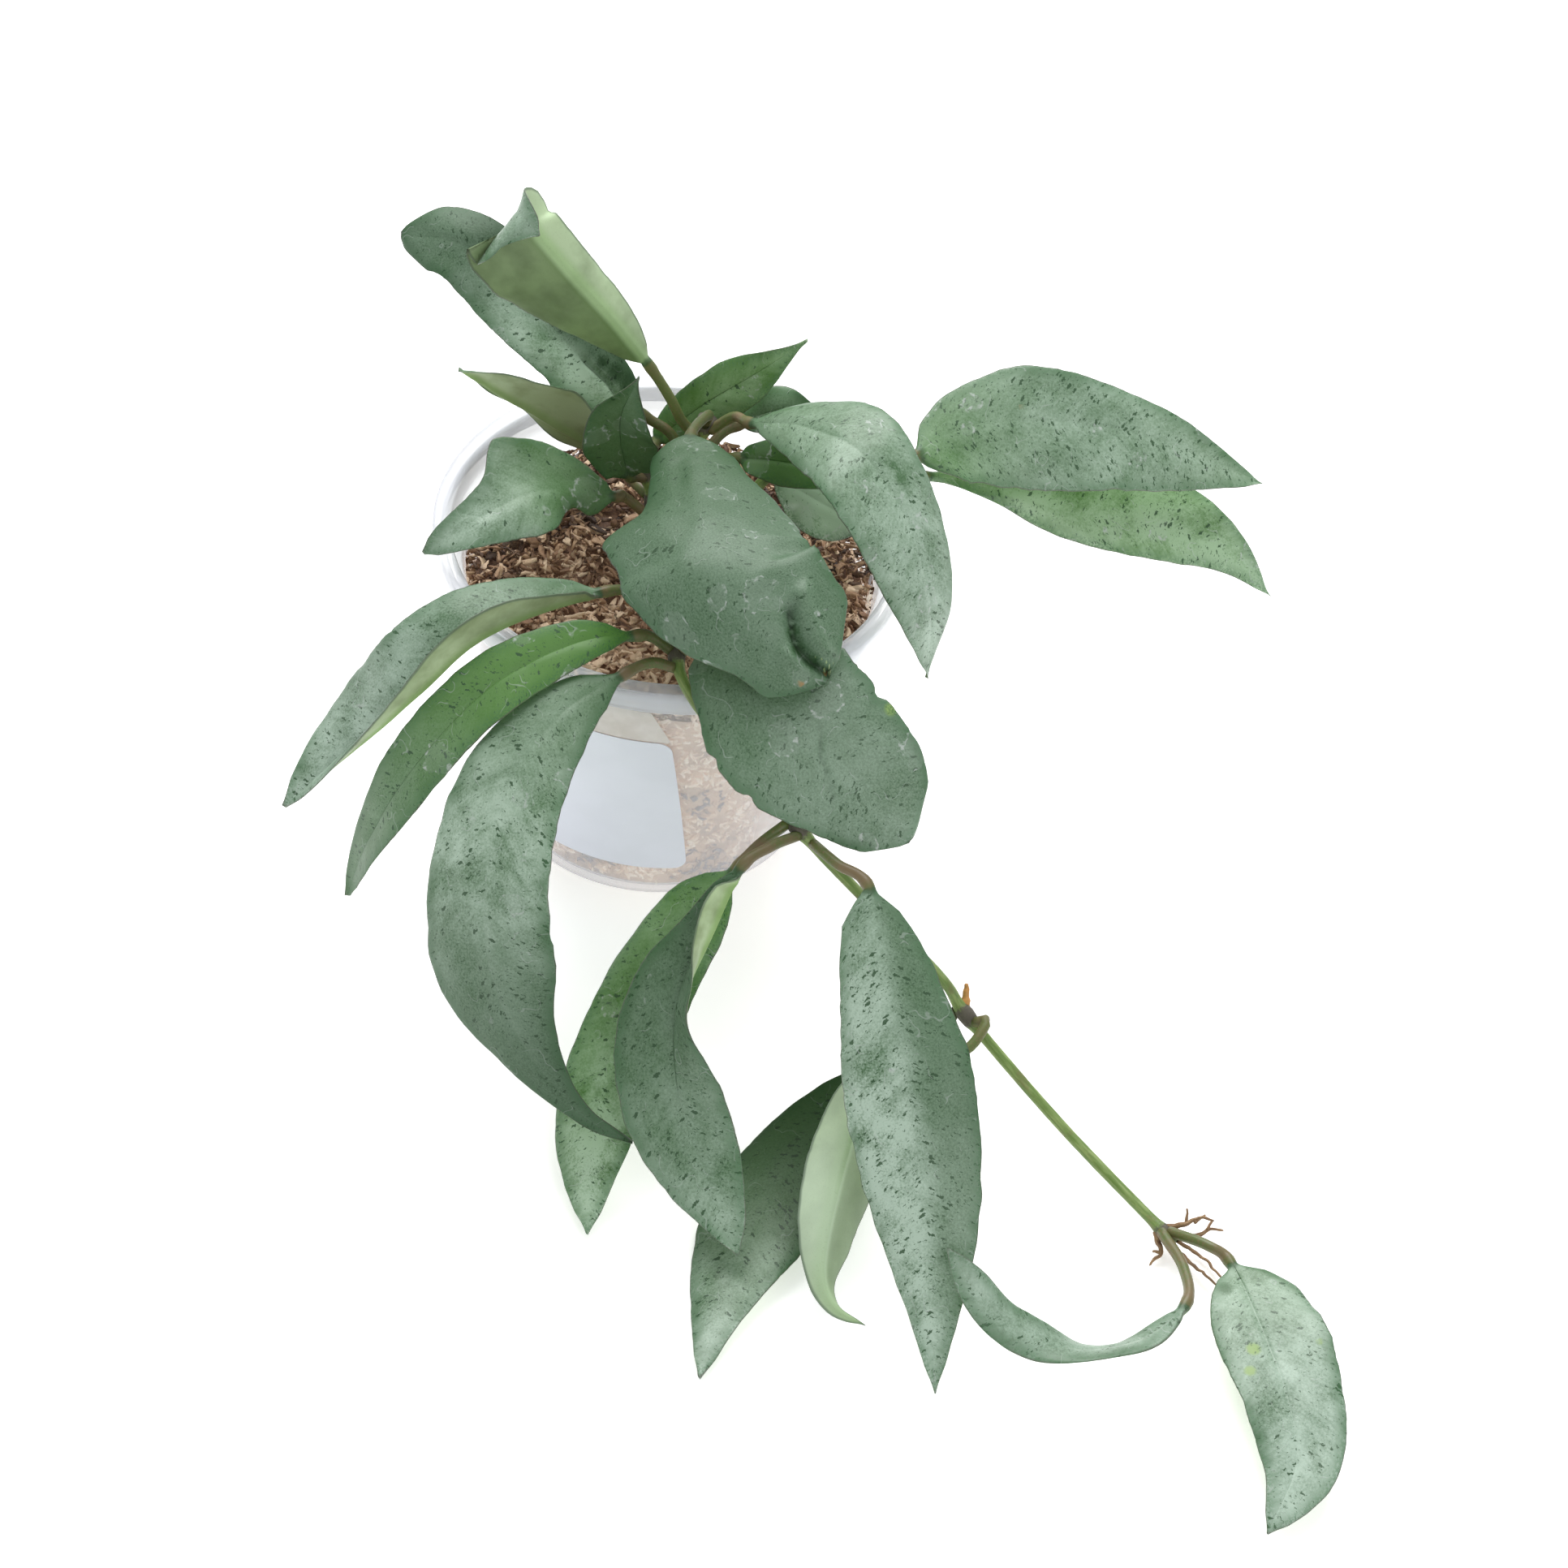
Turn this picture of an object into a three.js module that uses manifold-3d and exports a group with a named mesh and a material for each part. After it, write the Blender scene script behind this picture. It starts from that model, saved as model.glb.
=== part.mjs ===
// A climbing hoya with silvery lance-shaped leaves, growing in a clear tapered plastic cup.
// Millimetres, +Z up. The origin is the middle of the cup's base, on the table.
// +X is to the plant's right and -Y is its front, where the long shoot trails over the rim.
import * as THREE from 'three';
import { mergeVertices } from 'three/addons/utils/BufferGeometryUtils.js';
import Module from 'manifold-3d';

// Cup
const RIM_RADIUS = 37.5;
const CUP_HEIGHT = 56;
const BASE_RADIUS = 25.5;
const WALL_TOP_RADIUS = 33.5;
const WALL_TOP = 49.6;
const WALL = 0.8;
const SKIRT_BOTTOM = 51.4;
const CUP_SIDES = 48;

// Growing medium, label and the strip of clear tape above the label
const FIT = 0.3;
const SOIL_TOP = 48;
const LABEL_BOTTOM = 8;
const LABEL_TOP = 41;
const LABEL_THICKNESS = 0.3;
const LABEL_LEFT = -57;
const LABEL_RIGHT = 12;
const LABEL_SLANT = 5;
const TAPE_TOP = 48.4;
const TAPE_LEFT = -16;
const TAPE_RIGHT = 4;

// Stems and leaves
const VINE_RADIUS = 0.85;
const NODE_SWELLING = 0.5;
const STALK_RADIUS = 0.85;
const STALK_GAP = 0.4;
const RIB_THICKNESS = 1.1;
const MARGIN_THICKNESS = 0.6;
const STEM_SIDES = 8;
const BLADE_STEPS = 14;
const STALK_STEPS = 4;
const ACROSS = [-1, -0.55, 0, 0.55, 1];

const LEAF_SILVER = 0x7d9481;
const LEAF_GREEN = 0x5c8f55;
const LEAF_PALE = 0x9db583;
const LEAF_DARK = 0x4f6b58;
const STEM_GREEN = 0x66793f;
const STEM_BROWN = 0x86765a;

const wasm = await Module();
wasm.setup();

const plant = new THREE.Group();

function add(name, geometry, color, roughness = 0.5, extra = {}) {
  const material = new THREE.MeshStandardMaterial({ color, roughness, metalness: 0, ...extra });
  const mesh = new THREE.Mesh(geometry, material);
  mesh.name = name;
  plant.add(mesh);
}

// A closed skin over rings of points, each ring running anticlockwise about the way forward
function loft(rings) {
  const count = rings[0].length;
  const positions = rings.flat().flatMap((p) => [p.x, p.y, p.z]);
  const faces = [];
  for (let i = 0; i < rings.length - 1; i += 1) {
    for (let j = 0; j < count; j += 1) {
      const a = i * count + j;
      const b = i * count + ((j + 1) % count);
      faces.push(a, b, b + count, a, b + count, a + count);
    }
  }
  const last = (rings.length - 1) * count;
  for (let j = 1; j < count - 1; j += 1) {
    faces.push(0, j + 1, j, last, last + j, last + j + 1);
  }
  const geometry = new THREE.BufferGeometry();
  geometry.setAttribute('position', new THREE.Float32BufferAttribute(positions, 3));
  geometry.setIndex(faces);
  geometry.computeVertexNormals();
  return geometry;
}

function curveThrough(points) {
  const vectors = points.map((p) => (p.isVector3 ? p : new THREE.Vector3(...p)));
  return new THREE.CatmullRomCurve3(vectors, false, 'catmullrom', 0.5);
}

// Solids for the growing medium, whose sockets are cut by the stems
function solidOf(geometry) {
  const bare = geometry.clone();
  bare.deleteAttribute('normal');
  bare.deleteAttribute('uv');
  const welded = mergeVertices(bare, 1e-4);
  return new wasm.Manifold(new wasm.Mesh({
    numProp: 3,
    vertProperties: new Float32Array(welded.attributes.position.array),
    triVerts: new Uint32Array(welded.index.array),
  }));
}

function geometryOf(solid) {
  const mesh = solid.getMesh();
  const geometry = new THREE.BufferGeometry();
  geometry.setAttribute('position', new THREE.BufferAttribute(mesh.vertProperties, 3));
  geometry.setIndex(new THREE.BufferAttribute(mesh.triVerts, 1));
  geometry.computeVertexNormals();
  return geometry;
}

function turned(profile) {
  const points = profile.map(([r, z]) => new THREE.Vector2(r, z));
  return new THREE.LatheGeometry(points, CUP_SIDES).rotateX(Math.PI / 2);
}

const wallRadius = (z) => BASE_RADIUS + ((WALL_TOP_RADIUS - BASE_RADIUS) * z) / WALL_TOP;

function buildCup() {
  const lipInner = RIM_RADIUS - 2.3;
  const profile = [
    [0, 0],
    [BASE_RADIUS - 0.8, 0],
    [BASE_RADIUS, 0.8],
    [WALL_TOP_RADIUS, WALL_TOP],
    [lipInner, WALL_TOP + 0.9],
    [lipInner + 0.2, CUP_HEIGHT - 1.6],
    [RIM_RADIUS - 1.1, CUP_HEIGHT - 1.4],
    [RIM_RADIUS - 1.5, SKIRT_BOTTOM],
    [RIM_RADIUS - 0.7, SKIRT_BOTTOM],
    [RIM_RADIUS, CUP_HEIGHT - 0.7],
    [RIM_RADIUS - 0.5, CUP_HEIGHT],
    [lipInner, CUP_HEIGHT],
    [lipInner - 0.6, CUP_HEIGHT - 0.8],
    [lipInner - WALL, WALL_TOP + 1.5],
    [WALL_TOP_RADIUS - WALL, WALL_TOP + 0.5],
    [BASE_RADIUS - WALL + 0.1, 1.6],
    [BASE_RADIUS - WALL - 0.8, WALL],
    [0, WALL],
  ];
  add('cup', turned(profile), 0xe9edf0, 0.15, { transparent: true, opacity: 0.35 });
}

// Stems, each a route of points in millimetres with the places where it swells at a leaf joint
const STEMS = {
  crown_stem: {
    route: [[3, 9, 42], [1, 13, 50], [1, 16, 57], [3, 18, 64]],
    nodes: [0.72, 0.97],
    radius: 1.1,
  },
  left_stem: {
    route: [[-2, 1, 42], [-4, 4, 49], [-4, 7, 55], [-6, 9, 60]],
    nodes: [0.7, 0.97],
    radius: 1.0,
  },
  right_vine: {
    route: [[7, 2, 42], [9, 6, 50], [13, 12, 58], [22, 16, 61], [31, 17, 59]],
    nodes: [0.98],
    radius: 0.9,
  },
  front_vine: {
    route: [
      [3, -6, 42], [3, -12, 52], [3, -20, 58], [3, -29, 59.2], [7.2, -39.4, 57.4],
      [25, -51, 45], [36, -54, 35], [49, -56, 22], [54, -58, 16], [70, -70, 7.5], [88, -85.5, 2.5],
    ],
    nodes: [0.13, 0.22, 0.43, 0.7, 0.99],
    radius: VINE_RADIUS,
  },
};

for (const stem of Object.values(STEMS)) {
  stem.curve = curveThrough(stem.route);
}

function stemRadius(stem, u) {
  const length = stem.curve.getLength();
  const near = Math.min(...stem.nodes.map((n) => Math.abs(n - u) * length));
  return stem.radius + NODE_SWELLING * Math.exp(-((near / 2) ** 2));
}

function stemGeometry(stem, extra = 0) {
  const steps = Math.ceil(stem.curve.getLength() / 3.5);
  const frames = stem.curve.computeFrenetFrames(steps, false);
  const rings = [];
  for (let i = 0; i <= steps; i += 1) {
    const u = i / steps;
    const middle = stem.curve.getPointAt(u);
    if (i === 0) middle.addScaledVector(frames.tangents[0], -extra);
    const r = stemRadius(stem, u) + extra;
    rings.push(Array.from({ length: STEM_SIDES }, (_, j) => {
      const angle = (2 * Math.PI * j) / STEM_SIDES;
      return middle.clone()
        .addScaledVector(frames.normals[i], r * Math.cos(angle))
        .addScaledVector(frames.binormals[i], r * Math.sin(angle));
    }));
  }
  return loft(rings);
}

function buildStems() {
  for (const [name, stem] of Object.entries(STEMS)) {
    add(name, stemGeometry(stem), STEM_GREEN, 0.6);
  }
}

// Where a growth of the given radius starts beside a stem on its way to the target
function leavingPoint(stem, at, target, radius) {
  const joint = stem.curve.getPointAt(at);
  const grain = stem.curve.getTangentAt(at);
  const ahead = new THREE.Vector3(...target).sub(joint).normalize();
  const slope = ahead.dot(grain);
  const outward = ahead.addScaledVector(grain, -slope).normalize();
  const clear = stemRadius(stem, at) + STALK_GAP + radius * Math.abs(slope);
  return joint.addScaledVector(outward, clear);
}

// Small growths at the front vine's joints, each thinning along its route
const TWIGS = [
  { name: 'bud', at: 0.69, route: [[53.2, -55, 18.8], [52.9, -54.5, 20]], thick: 0.7, thin: 0.45 },
  { name: 'aerial_root_left', at: 0.98, route: [[86, -87, 1.5], [85, -88.6, 1]], thick: 0.45, thin: 0.3 },
  { name: 'aerial_root_top', at: 0.985, route: [[90, -84, 5], [92, -84.5, 5.5]], thick: 0.45, thin: 0.3 },
  { name: 'aerial_root_right', at: 1, route: [[92, -84, 3.5], [94, -83, 4]], thick: 0.45, thin: 0.3 },
  { name: 'dry_strand_long', at: 1, route: [[90.7, -88, 1.4], [94.4, -91.5, 1.6]], thick: 0.5, thin: 0.4 },
  { name: 'dry_strand_short', at: 1, route: [[92, -86, 1], [95, -89.5, 1.2]], thick: 0.5, thin: 0.4 },
];

function twigGeometry(twig) {
  const start = leavingPoint(STEMS.front_vine, twig.at, twig.route[0], twig.thick);
  const curve = curveThrough([start, ...twig.route]);
  const frames = curve.computeFrenetFrames(4, false);
  const rings = frames.tangents.map((_, i) => {
    const r = THREE.MathUtils.lerp(twig.thick, twig.thin, i / 4);
    return Array.from({ length: 6 }, (_unused, j) => {
      const angle = (Math.PI * j) / 3;
      return curve.getPointAt(i / 4)
        .addScaledVector(frames.normals[i], r * Math.cos(angle))
        .addScaledVector(frames.binormals[i], r * Math.sin(angle));
    });
  });
  return loft(rings);
}

function buildTwigs() {
  for (const twig of TWIGS) {
    add(twig.name, twigGeometry(twig), STEM_BROWN, 0.7);
  }
}

function buildMedium() {
  const bottom = WALL + FIT;
  const inside = (z) => wallRadius(z) - WALL - FIT;
  const profile = [
    [0, bottom],
    [inside(bottom) - 1.4, bottom],
    [inside(3), 3],
    [inside(SOIL_TOP - 2), SOIL_TOP - 2],
    [inside(SOIL_TOP - 2) - 2, SOIL_TOP - 0.6],
    [inside(SOIL_TOP) - 9, SOIL_TOP],
    [0, SOIL_TOP + 0.6],
  ];
  let solid = solidOf(turned(profile));
  for (const stem of Object.values(STEMS)) {
    solid = solid.subtract(solidOf(stemGeometry(stem, FIT)));
  }
  add('growing_medium', geometryOf(solid), 0x8f6e4f, 1);
}

// A thin patch lying on the cup's wall, its right edge slanting by some degrees towards the foot
function wallPatch(left, right, slant, low, high, offset, thickness, corner) {
  const columns = Math.ceil((right - left) / 7.5);
  const degrees = Math.PI / 180;
  const point = (angle, z, out) => {
    const r = wallRadius(z) + out;
    return new THREE.Vector3(r * Math.sin(angle), -r * Math.cos(angle), z);
  };
  const rings = [];
  for (let i = 0; i <= columns; i += 1) {
    const u = i / columns;
    const edge = i === 0 || i === columns ? corner : 0;
    const top = (left + (right - slant - left) * u) * degrees;
    const foot = (left + (right + slant - left) * u) * degrees;
    rings.push([
      point(top, high - edge, offset),
      point(top, high - edge, offset + thickness),
      point(foot, low + edge, offset + thickness),
      point(foot, low + edge, offset),
    ]);
  }
  return loft(rings);
}

function buildLabel() {
  const label = wallPatch(
    LABEL_LEFT, LABEL_RIGHT, LABEL_SLANT, LABEL_BOTTOM, LABEL_TOP, FIT, LABEL_THICKNESS, 1.5,
  );
  add('label', label, 0xf4f5f8, 0.7);
  const tape = wallPatch(
    TAPE_LEFT, TAPE_RIGHT, 3, LABEL_TOP + FIT, TAPE_TOP, FIT, LABEL_THICKNESS, 0,
  );
  add('label_tape', tape, 0xc9c1bd, 0.4);
}

// A value that changes along the blade: one number, or a list spaced evenly from base to tip
function along(value, u) {
  if (!Array.isArray(value)) return value;
  const place = Math.min(Math.max(u, 0), 1) * (value.length - 1);
  const i = Math.min(Math.floor(place), value.length - 2);
  const t = place - i;
  const [from, to] = [value[i], value[i + 1]];
  const before = i > 0 ? value[i - 1] : 2 * from - to;
  const after = i + 2 < value.length ? value[i + 2] : 2 * to - from;
  const slopes = [(to - before) / 2, (after - from) / 2];
  const cubic = 2 * from - 2 * to + slopes[0] + slopes[1];
  const square = 3 * to - 3 * from - 2 * slopes[0] - slopes[1];
  return ((cubic * t + square) * t + slopes[0]) * t + from;
}

function direction(list, u) {
  const parts = [0, 1, 2].map((axis) => along(list.map((v) => v[axis]), u));
  return new THREE.Vector3(...parts).normalize();
}

// Half of a blade. With breadths it opens from the stalk and rounds off over its last, blunt share;
// without them it is lance-shaped: it swells from the base and is broadest at widest
function halfBreadth(side, u) {
  if (side.breadths) {
    const opening = Math.min(u / 0.06, 1) ** 0.5;
    const closing = Math.min((1.002 - u) / side.blunt, 1) ** 0.5;
    return Math.max(along(side.breadths, u), 0.3) * opening * closing;
  }
  const swell = Math.sin(Math.PI * u ** (Math.log(0.5) / Math.log(side.widest)));
  return (side.width / 2) * Math.max(swell, 0) ** (0.45 + 0.85 * u);
}

// Across the blade: fold is how far each half rises from the midrib, curl how much more its margin
// bends, both in degrees towards the upper face
function acrossBlade(side, u, s, halfWidth) {
  const radians = Math.PI / 180;
  const fold = along(side.fold, u) * radians;
  const curl = along(side.curl, u) * radians || 1e-6;
  const turn = fold + curl * s;
  const wave = side.wave * s * s * Math.sin(2 * Math.PI * (side.waves * u + side.phase));
  return {
    x: (halfWidth / curl) * (Math.sin(turn) - Math.sin(fold)),
    y: (halfWidth / curl) * (Math.cos(fold) - Math.cos(turn)) + wave,
    turn,
  };
}

const PLAIN_SIDE = {
  width: 18, widest: 0.42, fold: 6, curl: -14, wave: 0.5, waves: 2.3, phase: 0, blunt: 0.05,
};

function leafGeometry(leaf) {
  const start = leavingPoint(STEMS[leaf.stem], leaf.at, leaf.stalk[0], STALK_RADIUS);
  const points = [start, ...leaf.stalk, ...leaf.rib];
  const path = curveThrough(points);
  const lengths = path.getLengths(400);
  const bladeStart = (leaf.stalk.length + 1) / (points.length - 1);
  const base = lengths[Math.round(bladeStart * 400)] / lengths[400];
  const sides = [{ ...PLAIN_SIDE, ...leaf, ...leaf.left }, { ...PLAIN_SIDE, ...leaf, ...leaf.right }];
  sides[0].phase += 0.37;
  const stations = [];
  for (let i = 0; i < STALK_STEPS; i += 1) stations.push((base * i) / STALK_STEPS);
  const steps = leaf.steps || BLADE_STEPS;
  for (let i = 0; i <= steps; i += 1) {
    const even = i / steps;
    stations.push(base + (1 - base) * (even + 0.5 - 0.5 * Math.cos(Math.PI * even)) / 2);
  }
  const rings = stations.map((s) => {
    const u = (s - base) / (1 - base);
    const blade = Math.max(u, 0);
    const middle = path.getPointAt(Math.min(s, 1));
    const forward = path.getTangentAt(Math.min(s, 1));
    const up = direction(leaf.face, blade);
    up.addScaledVector(forward, -up.dot(forward)).normalize();
    const across = forward.clone().cross(up);
    const flat = THREE.MathUtils.smoothstep(blade, 0, 0.08);
    const tip = 1 - 0.6 * blade ** 6;
    const upper = [];
    const lower = [];
    for (const a of ACROSS) {
      const side = sides[a < 0 ? 0 : 1];
      const reach = Math.abs(a);
      const halfWidth = Math.max(u > 0 ? halfBreadth(side, blade) : 0, STALK_RADIUS * tip * 0.9);
      const bent = acrossBlade(side, blade, reach, halfWidth);
      const x = Math.sign(a) * THREE.MathUtils.lerp(halfWidth * reach, bent.x, flat);
      const y = bent.y * flat;
      const round = STALK_RADIUS * Math.sqrt(1 - 0.88 * reach * reach);
      const thin = THREE.MathUtils.lerp(RIB_THICKNESS, MARGIN_THICKNESS, reach) / 2;
      const half = THREE.MathUtils.lerp(round, thin * tip, flat);
      const lean = Math.sign(a) * bent.turn * flat;
      const normal = [-Math.sin(lean) * half, Math.cos(lean) * half];
      const place = (k) => middle.clone()
        .addScaledVector(across, x + k * normal[0])
        .addScaledVector(up, y + k * normal[1]);
      upper.push(place(1));
      lower.unshift(place(-1));
    }
    return [...upper, ...lower];
  });
  return loft(rings);
}

const LEAVES = [
  {
    name: 'leaf_back_long', stem: 'crown_stem', at: 0.66, color: LEAF_SILVER,
    stalk: [[-3, 18, 60]],
    rib: [[-8, 19, 62.5], [-18, 20, 71], [-28, 24, 79], [-38, 28, 84], [-48, 31, 82]],
    face: [[0.2, -0.6, 0.75], [0.1, -0.5, 0.85], [-0.6, -0.4, 0.6]],
    curl: -20, blunt: 0.12,
    left: { breadths: [4.5, 5, 6, 7.2, 7.2, 6.5, 5.5, 4.6] },
    right: { breadths: [2, 5, 6.5, 7, 6.8, 6.4, 5.6, 4.5] },
  },
  {
    name: 'leaf_back_rolled', stem: 'crown_stem', at: 0.86, color: LEAF_PALE,
    stalk: [[-1, 14, 66], [-3, 13, 71]],
    rib: [
      [-7, 13.5, 77], [-12.5, 12, 85.5], [-18.8, 11.2, 93.4], [-24.8, 11.2, 100.6],
      [-26.8, 12.2, 103.2], [-27.8, 10.8, 104.6], [-26.2, 8.2, 105.4], [-24, 7.2, 103.6],
    ],
    face: [
      [-0.48, 0.83, -0.1], [-0.48, 0.83, -0.15], [-0.46, 0.82, -0.22], [-0.43, 0.81, -0.3],
      [-0.41, 0.8, -0.34], [-0.42, 0.8, -0.32], [-0.55, 0.75, -0.1], [-0.86, 0.2, 0.4],
      [-0.1, -0.7, 0.7],
    ],
    steps: 26,
    left: { breadths: [0.8, 2.4, 3.4, 4, 4.3, 4.4, 4.5, 4.3, 2.8, 0.5], curl: [10, 20, 20, 10, 0] },
    right: {
      breadths: [1, 4, 6.4, 8.2, 9.6, 10.6, 11, 10.6, 8.6, 0.5], curl: [10, 45, 50, 40, 20, 0, -10],
    },
  },
  {
    name: 'leaf_back_olive', stem: 'left_stem', at: 0.75, color: LEAF_PALE,
    stalk: [[-9.5, 12, 56]],
    rib: [[-12, 14, 57.4], [-20, 14.5, 61.4], [-28, 14, 66.4], [-36, 12.5, 72]],
    face: [[0.1, 0.95, 0.1], [0, 0.9, 0.2], [0, 0.8, 0.5]],
    fold: 8,
    left: { breadths: [2, 6.4, 8.8, 9.4, 8.2, 5.4, 0.8], curl: -28 },
    right: { breadths: [2, 3, 2.4, 1.6, 1, 0.7, 0.4] },
  },
  {
    name: 'leaf_small_upright', stem: 'left_stem', at: 0.93, color: LEAF_DARK,
    stalk: [[-7, 6.5, 60]],
    rib: [[-8, 5.6, 61], [-9.4, 4.6, 68], [-9.5, 2.5, 76], [-7.3, 1.3, 84]],
    face: [[0, -0.8, 0.4], [0, -0.9, 0.3]],
    width: 12.5, widest: 0.4, fold: 18, curl: 10,
  },
  {
    name: 'leaf_left_twisted', stem: 'left_stem', at: 0.6, color: LEAF_SILVER,
    stalk: [[-8.5, 4.8, 57]],
    rib: [[-9.8, 3.4, 58], [-15, 1.4, 60.2], [-22, -4.6, 63.6], [-30, -12, 62.5], [-37, -15, 58]],
    face: [[-0.1, -0.6, 0.8], [-0.2, -0.5, 0.85], [-0.3, -0.5, 0.8]],
    left: { breadths: [1.5, 3.8, 2.8, 4.2, 6.6, 6.8, 5.8, 4.8, 3.6, 2.2, 0.5], fold: -5, curl: -10 },
    right: { breadths: [1.2, 2.4, 5, 7.2, 8.6, 9.6, 5.4, 4.2, 3.4, 2.2, 0.5], fold: 6, curl: 30 },
  },
  {
    name: 'leaf_broad_middle', stem: 'crown_stem', at: 0.97, color: LEAF_SILVER,
    steps: 22,
    stalk: [[3, 13, 68.5]],
    rib: [[1, 4, 71], [4, -12, 75.5], [7, -27, 78], [12, -36, 75.5], [26.2, -42.4, 67.6]],
    face: [[0.05, -0.5, 0.8], [0.05, -0.65, 0.75], [0.2, -0.7, 0.65]],
    blunt: 0.09,
    left: { breadths: [6.5, 7.4, 8.6, 11, 13.4, 14.4, 15.2, 14.8, 14, 12.4, 9], fold: -4, curl: -22 },
    right: {
      breadths: [
        4.5, 6, 6.9, 7.4, 8.1, 8.8, 10.2, 15, 16.3, 15.8,
        15.1, 15.2, 15, 13.6, 12, 10.2, 8.8, 8.2, 8, 7.6, 5,
      ],
      fold: -4, curl: -26,
    },
  },
  {
    name: 'leaf_broad_front', stem: 'front_vine', at: 0.22, color: LEAF_SILVER,
    stalk: [[7, -28.5, 63]],
    rib: [[8.5, -31, 62.5], [13.5, -38, 62.5], [21, -44.5, 60.5], [30, -47.7, 55], [41.5, -51.4, 46.4]],
    face: [[0.1, -0.6, 0.8], [0.1, -0.75, 0.65], [0.2, -0.8, 0.55]],
    fold: 0, curl: -13, blunt: 0.09,
    left: { breadths: [3, 9, 13.2, 13.2, 12, 10, 4.5] },
    right: { breadths: [4.5, 8, 11.8, 12.6, 11, 8.4, 4.5] },
  },
  {
    name: 'leaf_right_arching', stem: 'crown_stem', at: 0.93, color: LEAF_SILVER,
    stalk: [[7, 16.5, 66]],
    rib: [[10, 13, 68], [18, 5, 75], [27, -3, 78], [35, -10, 72], [40.2, -17, 61.8], [41.4, -21, 50.6]],
    face: [[0, -0.5, 0.85], [0.3, -0.5, 0.8], [0.65, -0.55, 0.5], [0.8, -0.55, 0.2]],
    curl: -24,
    left: { breadths: [0.5, 6, 8.8, 8.2, 7.4, 5, 0.5] },
    right: { breadths: [0.5, 4.5, 7.6, 9.6, 9.2, 6, 0.5] },
  },
  {
    name: 'leaf_right_under', stem: 'right_vine', at: 0.52, color: LEAF_GREEN,
    stalk: [[14, 11, 61.5]],
    rib: [[15, 9.5, 61], [20, 8, 59], [25, 6, 58], [31, 4.5, 57]],
    face: [[0, -0.6, 0.8], [0.3, -0.6, 0.7]],
    width: 11, widest: 0.5,
  },
  {
    name: 'leaf_right_dark', stem: 'crown_stem', at: 0.78, color: LEAF_DARK,
    stalk: [[6.5, 13, 60.5]],
    rib: [[9, 11.5, 62], [14.5, 9.5, 64], [21.5, 8, 64.6], [28, 8.5, 62]],
    face: [[0, -0.7, 0.7], [0.1, -0.6, 0.8]],
    width: 8, widest: 0.45, fold: 14,
  },
  {
    name: 'leaf_back_green', stem: 'left_stem', at: 0.85, color: LEAF_GREEN,
    stalk: [[-5, 15.5, 55]],
    rib: [[-5, 21.5, 55], [2, 23, 62.5], [9.5, 23.5, 69.5], [17, 24.5, 76.5]],
    face: [[0, -0.9, 0.4], [0.1, -0.9, 0.4]],
    width: 9, widest: 0.45, fold: 10,
  },
  {
    name: 'leaf_back_low', stem: 'crown_stem', at: 0.62, color: LEAF_DARK,
    stalk: [[5, 20, 59]],
    rib: [[8.2, 22, 60.2], [13, 22.5, 63], [20, 22.5, 65]],
    face: [[0, -0.6, 0.8], [0, -0.6, 0.8]],
    width: 8, widest: 0.5, fold: 20,
  },
  {
    name: 'leaf_pair_upper', stem: 'right_vine', at: 0.985, color: LEAF_SILVER,
    stalk: [[34, 18, 61]],
    rib: [[36, 18, 61.5], [40, 22, 62.5], [46, 25, 63.5], [58, 28, 63.5], [74, 32, 59], [93, 34, 51]],
    face: [[0, -0.6, 0.8], [0.1, -0.5, 0.85]],
    fold: 5, curl: -10,
    left: { breadths: [1.5, 6.2, 8.8, 8.4, 7, 5.2, 2.6, 0.3] },
    right: { breadths: [7, 9.4, 11, 11.2, 10, 8, 4.5, 0.5] },
  },
  {
    name: 'leaf_pair_lower', stem: 'right_vine', at: 0.9, color: LEAF_GREEN,
    stalk: [[32.5, 13.5, 57.8], [35, 15.5, 57]],
    rib: [
      [38, 18.5, 57], [50, 20, 54.5], [63, 21, 50.5], [79, 26, 45.4], [88.6, 26.6, 41.4], [97, 25, 35],
    ],
    face: [[0, -0.6, 0.8], [0.1, -0.5, 0.85]],
    fold: 4,
    left: { breadths: [0.5, 3.4, 5, 6.2, 7, 7.8, 8.8, 8.4, 5.6, 2.8, 0.4] },
    right: { breadths: [0.5, 1.2, 2.2, 3.3, 4.2, 5, 5.4, 5, 3.7, 2, 0.4] },
  },
  {
    name: 'leaf_left_upper', stem: 'front_vine', at: 0.13, color: LEAF_SILVER,
    stalk: [[-3, -18.5, 59]],
    rib: [
      [-9, -21.5, 60.5], [-18.6, -29.4, 61.8], [-26.6, -36.2, 60.6], [-34.2, -41.4, 53.6],
      [-43.5, -43.2, 42.3], [-52.8, -46.8, 32.2],
    ],
    face: [[0, -0.5, 0.85], [-0.2, -0.5, 0.85], [-0.5, -0.5, 0.7], [-0.6, -0.5, 0.6]],
    left: { breadths: [0.8, 3.6, 5.6, 5.4, 4.4, 3.4, 2.4, 0.5], fold: [90, 104, 96, 60, 15], curl: -10 },
    right: { breadths: [1, 5, 8.4, 10.2, 10.8, 9.8, 6.4, 0.6] },
  },
  {
    name: 'leaf_left_middle', stem: 'front_vine', at: 0.215, color: LEAF_GREEN,
    stalk: [[-0.5, -31, 61.5]],
    rib: [
      [-3, -32, 62.2], [-11.7, -36.8, 63.3], [-23, -43.6, 58.9], [-32.8, -49.7, 46.8],
      [-38.4, -52.8, 34.8], [-42, -53, 21],
    ],
    face: [[0, -0.3, 0.95], [-0.1, -0.5, 0.85], [-0.6, -0.6, 0.6], [-0.8, -0.5, 0.3]],
    breadths: [1, 3.6, 5, 5.2, 5, 4.8, 3.2, 0.4], fold: 14, curl: -14,
  },
  {
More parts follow.
